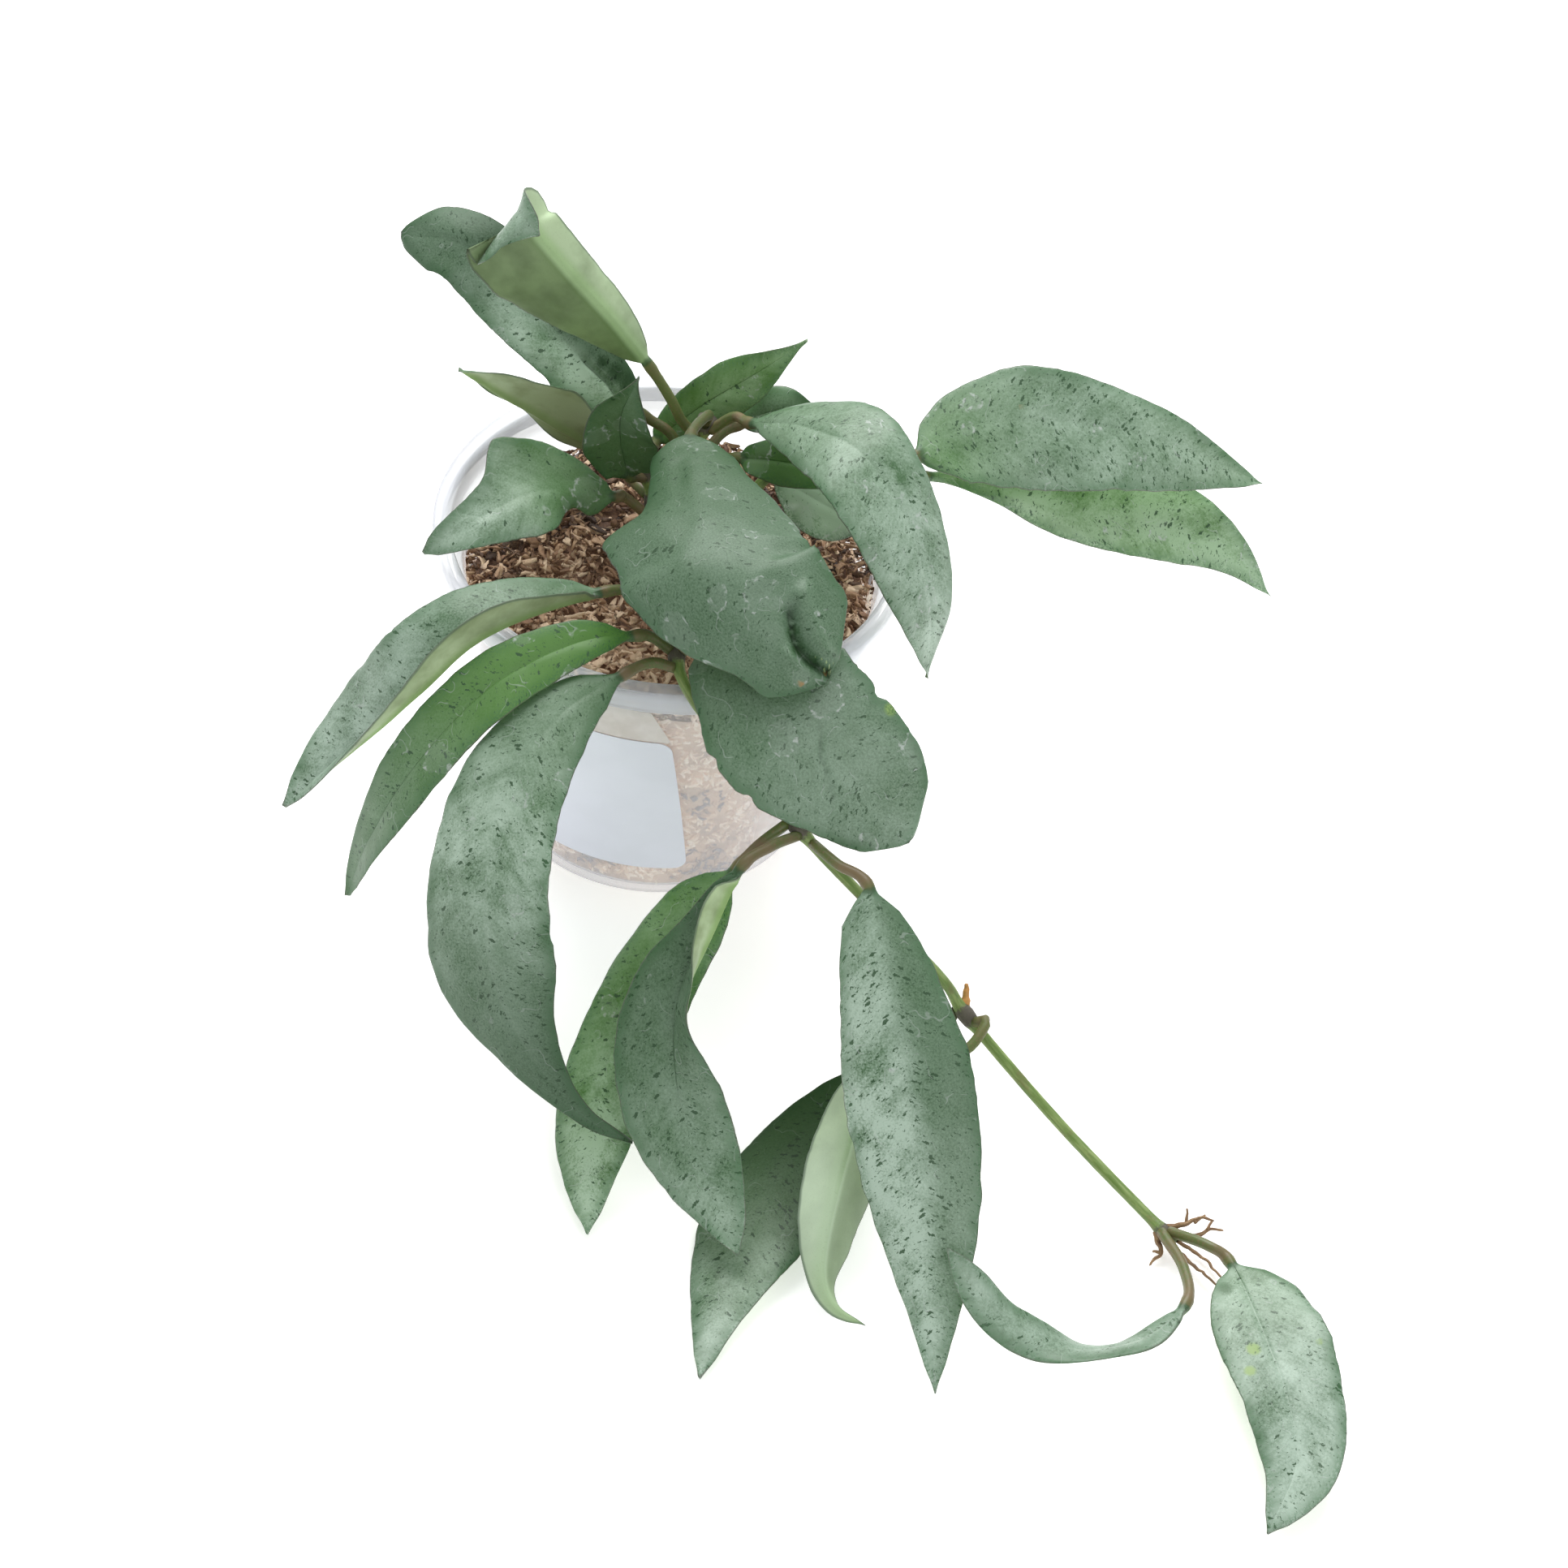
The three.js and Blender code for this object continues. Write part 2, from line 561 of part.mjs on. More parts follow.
    name: 'leaf_left_lower', stem: 'front_vine', at: 0.235, color: LEAF_SILVER,
    stalk: [[0, -35, 60]],
    rib: [
      [-4, -38, 59.5], [-12, -46.8, 58.2], [-18, -56.9, 52], [-19.6, -66.4, 41.7], [-17.2, -74, 30.7],
      [-10.7, -80.2, 21.7], [-2, -85, 15], [6, -86, 11],
    ],
    face: [[-0.1, -0.5, 0.85], [-0.4, -0.7, 0.6], [-0.4, -0.8, 0.4], [-0.1, -0.8, 0.6]],
    breadths: [1.5, 5.2, 8.2, 9.8, 10.4, 10.1, 5.8, 2, 0.4], fold: 4, curl: -18,
  },
  {
    name: 'leaf_front_left', stem: 'front_vine', at: 0.42, color: LEAF_GREEN,
    stalk: [[19.2, -53.6, 43.6]],
    rib: [[16.2, -56.6, 41], [8, -63, 31], [3, -69, 20], [0, -78, 10], [1, -97, 2]],
    face: [[-0.5, -0.5, 0.7], [-0.3, -0.7, 0.6], [-0.1, -0.5, 0.85]],
    left: { breadths: [1, 5.8, 7.6, 8.4, 8, 7.4, 6.4, 3.6, 0.5] },
    right: { breadths: [1, 4.8, 5.6, 6.1, 6, 6.2, 6.2, 4, 0.5] },
  },
  {
    name: 'leaf_front_twisted', stem: 'front_vine', at: 0.435, color: LEAF_SILVER,
    steps: 20,
    stalk: [[21, -56, 46]],
    rib: [
      [17, -60, 45], [14, -65.7, 38.3], [10.4, -73.7, 29.3], [11.6, -81.9, 20.2], [17, -91, 12.1],
      [23.5, -101, 6.5],
    ],
    face: [[0, -0.65, 0.75], [-0.2, -0.7, 0.7], [-0.1, -0.8, 0.6], [-0.1, -0.8, 0.6]],
    left: {
      breadths: [1, 4.6, 5, 5, 5, 6.6, 7.4, 7, 6, 4, 0.6],
      fold: [125, 120, 102, 66, 52, 30, 16, 8, 4, 2, 2], curl: [0, 0, 10, 10, 0, -14],
    },
    right: { breadths: [1, 3.2, 4.9, 7.2, 8.5, 9, 8.9, 8.2, 6.2, 3.2, 0.5] },
  },
  {
    name: 'leaf_table_dark', stem: 'front_vine', at: 0.69, color: LEAF_DARK,
    stalk: [[49, -59, 9]],
    rib: [[45, -61, 7], [37, -69, 5], [29, -83, 3.8], [24, -98, 2.9], [20, -120, 1.6]],
    face: [[-0.2, -0.3, 0.9], [-0.2, -0.2, 0.95]],
    fold: 2,
    left: { breadths: [1, 5, 8.5, 10.2, 9.8, 8, 5.6, 2.8, 0.5], curl: -6 },
    right: { breadths: [1, 4.5, 7, 8.2, 8.6, 8, 6.2, 3.4, 0.5] },
  },
  {
    name: 'leaf_table_pale', stem: 'front_vine', at: 0.71, color: LEAF_PALE,
    stalk: [[56.5, -60, 18], [54.5, -64, 16.5], [51, -66, 15.5]],
    rib: [
      [46, -69, 16], [39.5, -77, 16.5], [36.6, -91, 14], [35.6, -103, 9], [38, -108, 6.4],
      [43, -110, 5.4],
    ],
    face: [[-0.1, 0.4, -0.9], [-0.4, 0.5, -0.8], [-0.5, 0.5, -0.7]],
    fold: 16, curl: 16,
    left: { breadths: [1, 3.6, 4.6, 4.8, 5, 5.2, 4.9, 3.7, 1.9, 1.1, 0.4] },
    right: { breadths: [1, 4, 5.3, 6.4, 7.4, 8, 7.2, 5.8, 3.2, 1, 0.4] },
  },
  {
    name: 'leaf_front_long', stem: 'front_vine', at: 0.45, color: LEAF_SILVER,
    stalk: [[31, -56.5, 44.5]],
    rib: [[36, -60, 44], [40, -71, 39], [44.5, -84, 30], [49.5, -98, 18], [54, -118, 2]],
    face: [[0, -0.5, 0.85], [0.05, -0.65, 0.75], [0, -0.6, 0.8]],
    fold: 8, curl: -10,
    left: { breadths: [1, 5.4, 7.9, 9.7, 9.5, 8.4, 6.4, 3.4, 0.4] },
    right: { breadths: [4.5, 7, 8.5, 9.8, 9.8, 8.6, 6, 3, 0.4], fold: -8, curl: -30 },
  },
  {
    name: 'leaf_end_curved', stem: 'front_vine', at: 0.985, color: LEAF_SILVER,
    stalk: [[89, -93, 6]],
    rib: [[89, -101, 7.5], [82, -108.5, 7], [73, -111.5, 7.5], [62, -110, 11], [53, -104, 18]],
    face: [[0.1, 0.8, 0.6], [0, 0.6, 0.8], [-0.1, -0.1, 1], [-0.1, -0.4, 0.9]],
    breadths: [0.6, 2.4, 3.3, 3.6, 3.6, 3.3, 2.6, 0.3], fold: 4,
  },
  {
    name: 'leaf_end', stem: 'front_vine', at: 0.99, color: LEAF_SILVER,
    stalk: [[92.5, -88.5, 6.5]],
    rib: [[96, -91, 6], [100, -103, 7.5], [104, -115, 7], [105.5, -125, 5], [102, -135, 2]],
    face: [[0, -0.3, 0.9], [0, -0.2, 0.97]],
    fold: 10, curl: -12,
    left: { breadths: [1, 7, 8.6, 9, 8.5, 7.9, 6.5, 4.2, 0.8] },
    right: { breadths: [1, 5.2, 7, 7.1, 6.9, 6.3, 5.2, 2.8, 0.4] },
  },
];

buildCup();
buildMedium();
buildLabel();
buildStems();
buildTwigs();
for (const leaf of LEAVES) {
  add(leaf.name, leafGeometry(leaf), leaf.color, 0.45);
}

export default plant;
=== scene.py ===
# %% [markdown]
# A young hoya with silvery, lance-shaped leaves grows in a clear plastic cup. Its short stems stand
# in shredded bark and moss, and one long shoot has climbed over the rim and lies down to the table.
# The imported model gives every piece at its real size, so the first step loads it. The plain leaves,
# stems and cup in it are then replaced, one after another, by finer pieces in the same places.

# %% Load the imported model
import math

import bpy
import numpy as np
from mathutils import Matrix, Vector, noise


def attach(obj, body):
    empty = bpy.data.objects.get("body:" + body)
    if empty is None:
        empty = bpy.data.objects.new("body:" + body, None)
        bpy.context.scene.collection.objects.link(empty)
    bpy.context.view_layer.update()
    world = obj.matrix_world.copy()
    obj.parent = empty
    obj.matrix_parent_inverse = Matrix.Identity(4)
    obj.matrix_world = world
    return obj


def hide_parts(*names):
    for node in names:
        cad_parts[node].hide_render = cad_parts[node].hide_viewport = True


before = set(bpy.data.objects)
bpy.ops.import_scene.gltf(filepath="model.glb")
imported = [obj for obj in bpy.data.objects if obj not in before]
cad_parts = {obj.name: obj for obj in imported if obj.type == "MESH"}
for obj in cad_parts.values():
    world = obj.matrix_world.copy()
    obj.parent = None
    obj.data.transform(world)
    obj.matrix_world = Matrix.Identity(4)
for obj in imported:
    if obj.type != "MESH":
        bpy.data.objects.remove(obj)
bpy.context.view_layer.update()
MM = 0.001

# %% [markdown]
# The photograph looks down at the cup from in front, at about 45 degrees, and leans a little to one
# side. The camera could be moved by hand until the two pictures agree. Here it is worked out instead:
# the angle, the lens and the distance are known, and the middle of the cup's base, which is the origin,
# has to fall on one pixel of the photograph. The eye is then the only place that does this.

# %% Camera
PHOTO_SIDE = 1932
CUP_PIXEL = (803, 963)
LENS = 90.0
SENSOR = 36.0
DISTANCE = 0.648
ELEVATION = math.radians(45)
LEAN = math.radians(7)

back = Vector((0, -math.cos(ELEVATION), math.sin(ELEVATION)))
level = Vector((1, 0, 0))
right = level * math.cos(LEAN) + back.cross(level) * math.sin(LEAN)
up = back.cross(right)
per_pixel = SENSOR / LENS / PHOTO_SIDE * DISTANCE
cup_x = (CUP_PIXEL[0] - PHOTO_SIDE / 2) * per_pixel
cup_y = (PHOTO_SIDE / 2 - CUP_PIXEL[1]) * per_pixel
eye = back * DISTANCE - right * cup_x - up * cup_y

camera = bpy.data.objects.new("camera", bpy.data.cameras.new("camera"))
camera.data.lens = LENS
camera.data.sensor_width = SENSOR
camera.data.clip_start = 0.01
camera.matrix_world = Matrix.Translation(eye) @ Matrix((right, up, back)).transposed().to_4x4()
bpy.context.collection.objects.link(camera)
bpy.context.scene.camera = camera
print("eye in mm:", [round(v / MM, 1) for v in eye])

# %% [markdown]
# The picture was taken in a bright studio: light comes from everywhere, most of it from a large soft
# source overhead, and shadows are faint. An even white world does most of that. One broad lamp above
# and behind gives the waxy leaves their pale sheen, and a weaker one in front keeps the undersides open.
# The plain view transform keeps the leaf colours as they are set.

# %% Light and floor
WORLD_STRENGTH = 0.52
FLOOR_WHITE = (0.93, 0.93, 0.94, 1.0)
FLOOR_GLOW = 0.45
LAMPS = {
    "back_softbox": ((-0.08, 0.5, 0.75), 0.8, 10.5),
    "front_fill": ((0.4, -0.7, 0.6), 0.6, 2.0),
}

scene = bpy.context.scene
scene.view_settings.view_transform = "Standard"
world = bpy.data.worlds.new("studio")
world.use_nodes = True
world.node_tree.nodes["Background"].inputs["Color"].default_value = (1, 1, 1, 1)
world.node_tree.nodes["Background"].inputs["Strength"].default_value = WORLD_STRENGTH
scene.world = world
for lamp_name, (place, size, power) in LAMPS.items():
    lamp = bpy.data.objects.new(lamp_name, bpy.data.lights.new(lamp_name, "AREA"))
    lamp.data.size = size
    lamp.data.energy = power
    lamp.location = place
    lamp.rotation_mode = "QUATERNION"
    lamp.rotation_quaternion = Vector(place).to_track_quat("Z", "Y")
    bpy.context.collection.objects.link(lamp)
print(len(LAMPS), "lamps and an even world")

# %% [markdown]
# Every finish below is a tree of shader nodes. Setting nodes one by one takes many lines, so a small
# helper adds a node and fills its sockets at once, with a plain value or with another node's output.
# It also has short names for the steps that come back all the time: noise, masks and tints.

# %% Helpers for shader nodes
class Tree:
    """A node tree being filled."""

    def __init__(self, tree):
        self.tree = tree
        self.column = 0

    def fill(self, socket, value):
        """Links a socket to another node's output, or sets it to a plain value."""
        if isinstance(value, bpy.types.NodeSocket):
            self.tree.links.new(value, socket)
        else:
            socket.default_value = value

    def put(self, kind, sockets=None, **settings):
        node = self.tree.nodes.new("ShaderNode" + kind)
        self.column += 1
        node.location = (self.column % 8 * 190, -(self.column // 8) * 260)
        for key, value in settings.items():
            setattr(node, key, value)
        for key, value in (sockets or {}).items():
            self.fill(node.inputs[key], value)
        return node

    def sum(self, kind, a, b=0.0, c=0.0, clamp=False):
        return self.put("Math", {0: a, 1: b, 2: c}, operation=kind, use_clamp=clamp).outputs[0]

    def times(self, a, b, clamp=False):
        return self.sum("MULTIPLY", a, b, clamp=clamp)

    def scaled(self, a, factor, added, clamp=False):
        """a times a factor, plus something."""
        return self.sum("MULTIPLY_ADD", a, factor, added, clamp=clamp)

    def from_half(self, noise_value):
        """Noise, which lies about 0.5, moved so that it lies about 0."""
        return self.sum("SUBTRACT", noise_value, 0.5)

    def vector(self, kind, a, b=(0, 0, 0)):
        return self.put("VectorMath", {0: a, 1: b}, operation=kind).outputs[0]

    def step(self, value, low, high):
        """0 where value is at low, 1 where it is at high, with a soft way between."""
        sockets = {"Value": value, "From Min": low, "From Max": high}
        return self.put("MapRange", sockets, interpolation_type="SMOOTHSTEP").outputs[0]

    def noise(self, place, scale, detail=2.0, roughness=0.5):
        sockets = {"Vector": place, "Scale": scale, "Detail": detail, "Roughness": roughness}
        return self.put("TexNoise", sockets).outputs["Fac"]

    def blend(self, share, first, second, way="MIX"):
        node = self.put("Mix", data_type="RGBA", blend_type=way)
        self.fill(node.inputs[0], share)
        for socket, colour in ((node.inputs[6], first), (node.inputs[7], second)):
            self.fill(socket, (*colour, 1.0)[:4] if isinstance(colour, tuple) else colour)
        return node.outputs[2]

    def tint(self, colour, mask, strength, tone):
        """The colour with a tone laid over it where the mask is, at this strength."""
        return self.blend(self.times(mask, strength), colour, tone)

    def read(self, name, part="Vector"):
        return self.put("Attribute", attribute_name=name).outputs[part]

    def parts(self, vector):
        return self.put("SeparateXYZ", {0: vector}).outputs

    def own_place(self):
        """The place on the piece, in its own metres."""
        return self.put("TexCoord").outputs["Object"]

    def shaken(self, place, scale, reach):
        """A place in the leaf's plane, pushed about by noise within half this reach."""
        wobble = self.put("TexNoise", {"Vector": place, "Scale": scale, "Detail": 3.0}).outputs["Color"]
        shift = self.vector("SUBTRACT", wobble, (0.5, 0.5, 0.5))
        return self.vector("ADD", place, self.vector("MULTIPLY", shift, (reach, reach, 0.0)))

    def group(self, group, sockets):
        return self.put("Group", sockets, node_tree=group).outputs


# %% [markdown]
# Two more helpers open an empty group or material, and the last two fill its shader and turn a height
# into a bent normal.

# %% Helpers for groups and materials
def new_group(name, inputs, outputs):
    """An empty node group: inputs are (kind, title, value) and outputs (kind, title)."""
    group = bpy.data.node_groups.new(name, "ShaderNodeTree")
    for kind, title, value in inputs:
        socket = group.interface.new_socket(title, in_out="INPUT", socket_type="NodeSocket" + kind)
        socket.default_value = value
    for kind, title in outputs:
        group.interface.new_socket(title, in_out="OUTPUT", socket_type="NodeSocket" + kind)
    tree = Tree(group)
    given = group.nodes.new("NodeGroupInput").outputs
    result = group.nodes.new("NodeGroupOutput").inputs
    return tree, given, result


def new_material(name):
    """A material with one Principled BSDF; its tree, that node, and the material."""
    material = bpy.data.materials.new(name)
    material.use_nodes = True
    tree = Tree(material.node_tree)
    return tree, material.node_tree.nodes["Principled BSDF"], material


def feed(tree, shader, **sockets):
    """Links or sets a shader's sockets, whose names are written with _ for a space."""
    for key, value in sockets.items():
        tree.fill(shader.inputs[key.replace("_", " ")], value)


def bump(tree, height, distance, strength=1.0):
    sockets = {"Height": height, "Distance": distance, "Strength": strength}
    return tree.put("Bump", sockets).outputs[0]


# %% [markdown]
# Leaves, stems and roots all follow a line through a few points, as a gardener would bend a wire. The
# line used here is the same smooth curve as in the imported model, walked by its length so that steps
# along it are even. A bevelled curve would be quicker, but its rings could not be shaped one by one.

# %% Helpers for curves
class Route:
    """A smooth line through points in millimetres."""

    def __init__(self, points, samples=1200):
        self.points = np.array(points, float)
        self.places = np.linspace(0, 1, samples + 1)
        path = self.bend(self.places)
        steps = np.linalg.norm(np.diff(path, axis=0), axis=1)
        self.lengths = np.concatenate([[0], np.cumsum(steps)])
        self.length = self.lengths[-1]

    def bend(self, t):
        q = self.points
        p = np.vstack([2 * q[0] - q[1], q, 2 * q[-1] - q[-2]])
        t = np.clip(np.atleast_1d(t), 0, 1) * (len(self.points) - 1)
        i = np.minimum(t.astype(int), len(self.points) - 2)
        w = (t - i)[:, None]
        a, b, c, d = p[i], p[i + 1], p[i + 2], p[i + 3]
        first, last = (c - a) / 2, (d - b) / 2
        square, cube = 3 * (c - b) - 2 * first - last, 2 * (b - c) + first + last
        return b + first * w + square * w**2 + cube * w**3

    def share_at(self, index):
        """How far along the line its point with this index lies, from 0 to 1."""
        return np.interp(index / (len(self.points) - 1), self.places, self.lengths) / self.length

    def at(self, share):
        return self.bend(np.interp(np.asarray(share) * self.length, self.lengths, self.places))

    def heading(self, share):
        t = np.interp(np.asarray(share) * self.length, self.lengths, self.places)
        way = self.bend(np.minimum(t + 1e-3, 1)) - self.bend(np.maximum(t - 1e-3, 0))
        return way / np.linalg.norm(way, axis=-1, keepdims=True)


def unit(v):
    return v / np.linalg.norm(v, axis=-1, keepdims=True)


def soft_step(x, low, high):
    t = np.clip((x - low) / (high - low), 0, 1)
    return t * t * (3 - 2 * t)


def along(value, u):
    """A value that changes along a piece: one number, or a list spaced evenly from base to tip."""
    if not isinstance(value, (list, tuple)):
        return np.full(len(u), float(value))
    numbers = np.array(value, float)
    line = Route.__new__(Route)
    line.points = numbers[:, None] if numbers.ndim == 1 else numbers
    bent = line.bend(u)
    return bent[:, 0] if numbers.ndim == 1 else bent


def rough(points, scale, seed=0.0):
    """Smooth noise between about -1 and 1 at each point of an array."""
    flat = points.reshape(-1, 3) * scale + seed
    return np.array([noise.noise(Vector(p)) for p in flat]).reshape(points.shape[:-1])


# %% [markdown]
# A skin is a grid of points: rings one after another, closed at both ends. The same few functions make
# the stems, the roots, the cup and the leaves, and one more turns each skin into a piece of the plant.

# %% Helpers for skins and pieces
def grid_faces(rings, around):
    """Quads between rings of points that run anticlockwise about the way forward."""
    i = np.arange(rings - 1)[:, None] * around
    j = np.arange(around)[None, :]
    k = (j + 1) % around
    return np.stack([i + j, i + k, i + k + around, i + j + around], axis=-1).reshape(-1, 4)


def on_wall(r, angle, z):
    """Points on the cup's wall: the angle is 0 at the front and grows to the right."""
    return np.stack([r * np.sin(angle), -r * np.cos(angle), z], -1)


def turned(profile, sides):
    """Rings of a round skin, from its radii and heights."""
    angles = 2 * np.pi * np.arange(sides) / sides
    return np.array([
        np.stack([r * np.cos(angles), r * np.sin(angles), np.full(sides, z)], -1) for r, z in profile
    ])


def tube(line, shares, radii, sides):
    """Rings of a round skin along a line, carried along without twisting."""
    middles = line.at(shares)
    ways = line.heading(shares)
    normal = np.cross(ways[0], [0.3, 0.2, 0.93])
    rings = []
    angles = 2 * np.pi * np.arange(sides) / sides
    for middle, way, radius in zip(middles, ways, radii):
        normal = unit(normal - way * np.dot(normal, way))
        other = np.cross(way, normal)
        spokes = np.outer(np.cos(angles), normal) + np.outer(np.sin(angles), other)
        rings.append(middle + np.reshape(radius, (-1, 1)) * spokes)
    return np.array(rings)


def closed_faces(rings, sides):
    """Quads between rings, with a flat face over each end."""
    last = (rings - 1) * sides
    faces = grid_faces(rings, sides).tolist()
    faces.append(list(range(sides))[::-1])
    faces.append([last + j for j in range(sides)])
    return faces


def joined(skins):
    """Points and faces of several closed skins, as one mesh."""
    points, faces, count = [], [], 0
    for rings in skins:
        faces += [[i + count for i in face] for face in closed_faces(*rings.shape[:2])]
        points.append(rings.reshape(-1, 3))
        count += len(points[-1])
    return np.concatenate(points), faces


def make_piece(
    name, points, faces, materials, values=None, finish_of=None, replaced=(), smooth=True,
):
    """A mesh piece from points in millimetres, riding on the one body. values are point attributes."""
    mesh = bpy.data.meshes.new(name)
    mesh.from_pydata((np.asarray(points) * MM).tolist(), [], [list(map(int, f)) for f in faces])
    for material in materials:
        mesh.materials.append(material)
    if finish_of is not None:
        mesh.polygons.foreach_set("material_index", np.asarray(finish_of, np.int32))
    mesh.polygons.foreach_set("use_smooth", [smooth] * len(mesh.polygons))
    for key, value in (values or {}).items():
        value = np.asarray(value, np.float32)
        kind, field = ("FLOAT", "value") if value.ndim == 1 else ("FLOAT_VECTOR", "vector")
        mesh.attributes.new(key, kind, "POINT").data.foreach_set(field, value.ravel())
    mesh.update()
    piece = bpy.data.objects.new(name, mesh)
    bpy.context.collection.objects.link(piece)
    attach(piece, "root")
    for node in replaced:
        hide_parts(node)
    return piece

# %% [markdown]
# The upper side of a leaf carries several marks at once: a cloudy silver bloom, thousands of small dark
# flecks that run outwards from the midrib, thin rings where water drops dried, and a dark line round
# the margin. The underside and the stems share the fine grain. Painted pictures could hold all of this,
# but they would have to be drawn for two dozen leaves. Node groups do it for every leaf from one recipe:
# each takes the place on the leaf in millimetres and puts out a mask.

# %% Shared marks as node groups
def build_grain():
    """Fine and middling unevenness of a living skin, both around 0.5."""
    tree, given, result = new_group(
        "living_grain",
        [("Vector", "Place", (0, 0, 0)), ("Float", "Fine Scale", 3.2), ("Float", "Cloud Scale", 0.12)],
        [("Float", "Fine"), ("Float", "Cloud")],
    )
    fine = tree.noise(given["Place"], given["Fine Scale"], 3.0, 0.65)
    cloud = tree.noise(given["Place"], given["Cloud Scale"], 4.0, 0.6)
    tree.tree.links.new(fine, result["Fine"])
    tree.tree.links.new(cloud, result["Cloud"])
    return tree.tree


def build_flecks():
    """Small dark flecks, longer across the leaf than along it, in loose clumps."""
    tree, given, result = new_group(
        "leaf_flecks",
        [
            ("Vector", "Place", (0, 0, 0)),
            ("Float", "Spacing", 1.8),
            ("Float", "Amount", 0.5),
            ("Float", "Slant", 0.5),
        ],
        [("Float", "Mask")],
    )
    place = tree.shaken(given["Place"], 2.4, 0.8)
    parts = tree.parts(place)
    outward = tree.sum("ABSOLUTE", parts[1])
    forward = tree.sum("SUBTRACT", parts[0], tree.times(outward, given["Slant"]))
    cell = tree.put("CombineXYZ", {0: tree.times(forward, 2.0), 1: parts[1], 2: parts[2]}).outputs[0]
    scale = tree.sum("DIVIDE", 1.0, given["Spacing"])
    spots = tree.put("TexVoronoi", {"Vector": cell, "Scale": scale, "Randomness": 1.0})
    chance = tree.put("SeparateColor", {0: spots.outputs["Color"]}).outputs
    clump = tree.step(tree.noise(given["Place"], 0.22, 2.0), 0.36, 0.66)
    wanted = tree.times(tree.scaled(clump, 0.9, 0.25), given["Amount"])
    size = tree.times(tree.sum("POWER", chance[0], 3.0), 0.32)
    here = tree.sum("LESS_THAN", chance[1], wanted)
    reach = tree.times(tree.scaled(size, 1.0, 0.14), here)
    gap = tree.sum("SUBTRACT", reach, spots.outputs["Distance"])
    tree.tree.links.new(tree.step(gap, -0.01, 0.07), result["Mask"])
    return tree.tree


def build_dried_drops():
    """Thin broken rings and short scribbles that drops of hard water leave."""
    tree, given, result = new_group(
        "dried_drops",
        [("Vector", "Place", (0, 0, 0)), ("Float", "Amount", 0.4)],
        [("Float", "Mask")],
    )
    place = tree.shaken(given["Place"], 0.5, 4.0)
    drops = tree.put("TexVoronoi", {"Vector": place, "Scale": 0.13, "Randomness": 0.8})
    chance = tree.put("SeparateColor", {0: drops.outputs["Color"]}).outputs
    across = tree.sum("DIVIDE", drops.outputs["Distance"], 0.13)
    radius = tree.scaled(chance[0], 1.6, 1.1)
    off = tree.sum("ABSOLUTE", tree.sum("SUBTRACT", across, radius))
    ring = tree.step(off, 0.34, 0.04)
    broken = tree.step(tree.noise(given["Place"], 0.9, 3.0), 0.48, 0.66)
    chosen = tree.sum("LESS_THAN", chance[2], given["Amount"])
    inside = tree.times(tree.step(across, 0.0, 0.6), tree.sum("LESS_THAN", across, radius))
    film = tree.scaled(inside, 0.12, tree.times(ring, broken))
    rings = tree.times(film, chosen)
    level = tree.sum("ABSOLUTE", tree.sum("SUBTRACT", tree.noise(given["Place"], 0.2, 1.5), 0.5))
    line = tree.step(level, 0.008, 0.002)
    patch = tree.step(tree.noise(tree.vector("ADD", given["Place"], (70, 20, 0)), 0.3, 2.0), 0.52, 0.6)
    scribbles = tree.times(tree.times(line, patch), given["Amount"])
    tree.tree.links.new(tree.sum("MAXIMUM", rings, scribbles), result["Mask"])
    return tree.tree


GRAIN = build_grain()
FLECKS = build_flecks()
DRIED_DROPS = build_dried_drops()
print("groups:", [group.name for group in bpy.data.node_groups])

# %% [markdown]
# A hoya leaf is thick and waxy. Its upper side is sage green under a silver bloom, greener on young
# leaves, and its margin is a thin brown line. The stalk is olive with a blush of brown, and swells into
# a darker collar where it meets the blade. One material serves all upper sides, because each leaf's own
# values are stored on its points: how green, how silvery and how flecked it is, with painted sheen added
# to the silver, and how much painted shade lies on it where other leaves shade it, where it turns away
# from the light and in its creases.

# %% Leaf finishes
SAGE_DARK = (0.055, 0.115, 0.06)
SAGE = (0.115, 0.2, 0.122)
SILVER = (0.4, 0.51, 0.43)
FRESH_GREEN = (0.07, 0.19, 0.025)
FRESH_PALE = (0.27, 0.44, 0.22)
FRESH_YELLOW = (0.22, 0.34, 0.1)
BLOTCH_GREEN = (0.035, 0.105, 0.03)
FLECK_GREEN = (0.02, 0.065, 0.022)
EDGE_GREEN = (0.03, 0.12, 0.035)
SPOT_TAN = (0.3, 0.2, 0.08)
MARGIN_BROWN = (0.09, 0.075, 0.062)
DROP_WHITE = (0.45, 0.5, 0.47)
STALK_OLIVE = (0.1, 0.135, 0.035)
STALK_BLUSH = (0.17, 0.125, 0.06)
COLLAR_GREEN = (0.03, 0.08, 0.025)
UNDER_PALE = (0.42, 0.55, 0.31)
UNDER_SILVER = (0.42, 0.53, 0.4)
UNDER_RIB = (0.2, 0.36, 0.09)
UNDER_GREEN = (0.16, 0.23, 0.09)
UNDER_OLIVE = (0.11, 0.12, 0.055)
UNDER_EDGE = (0.07, 0.11, 0.075)
TOP_IN_SHADE = (0.28, 0.33, 0.28)
UNDER_IN_SHADE = (0.34, 0.4, 0.26)


def stalk_colour(tree, stalk, grain, blade):
    """The stalk's own colour over the blade's, with the dark collar between them."""
    blush = tree.step(grain["Cloud"], 0.42, 0.62)
    green = tree.blend(blush, STALK_OLIVE, STALK_BLUSH)
    speckled = tree.blend(tree.step(grain["Fine"], 0.5, 0.7), green, STALK_BLUSH)
    collar = tree.times(tree.step(stalk, 0.02, 0.35), tree.step(stalk, 0.9, 0.5))
    mixed = tree.blend(tree.step(stalk, 0.35, 0.65), blade, speckled)
    return tree.tint(mixed, collar, 0.75, COLLAR_GREEN)
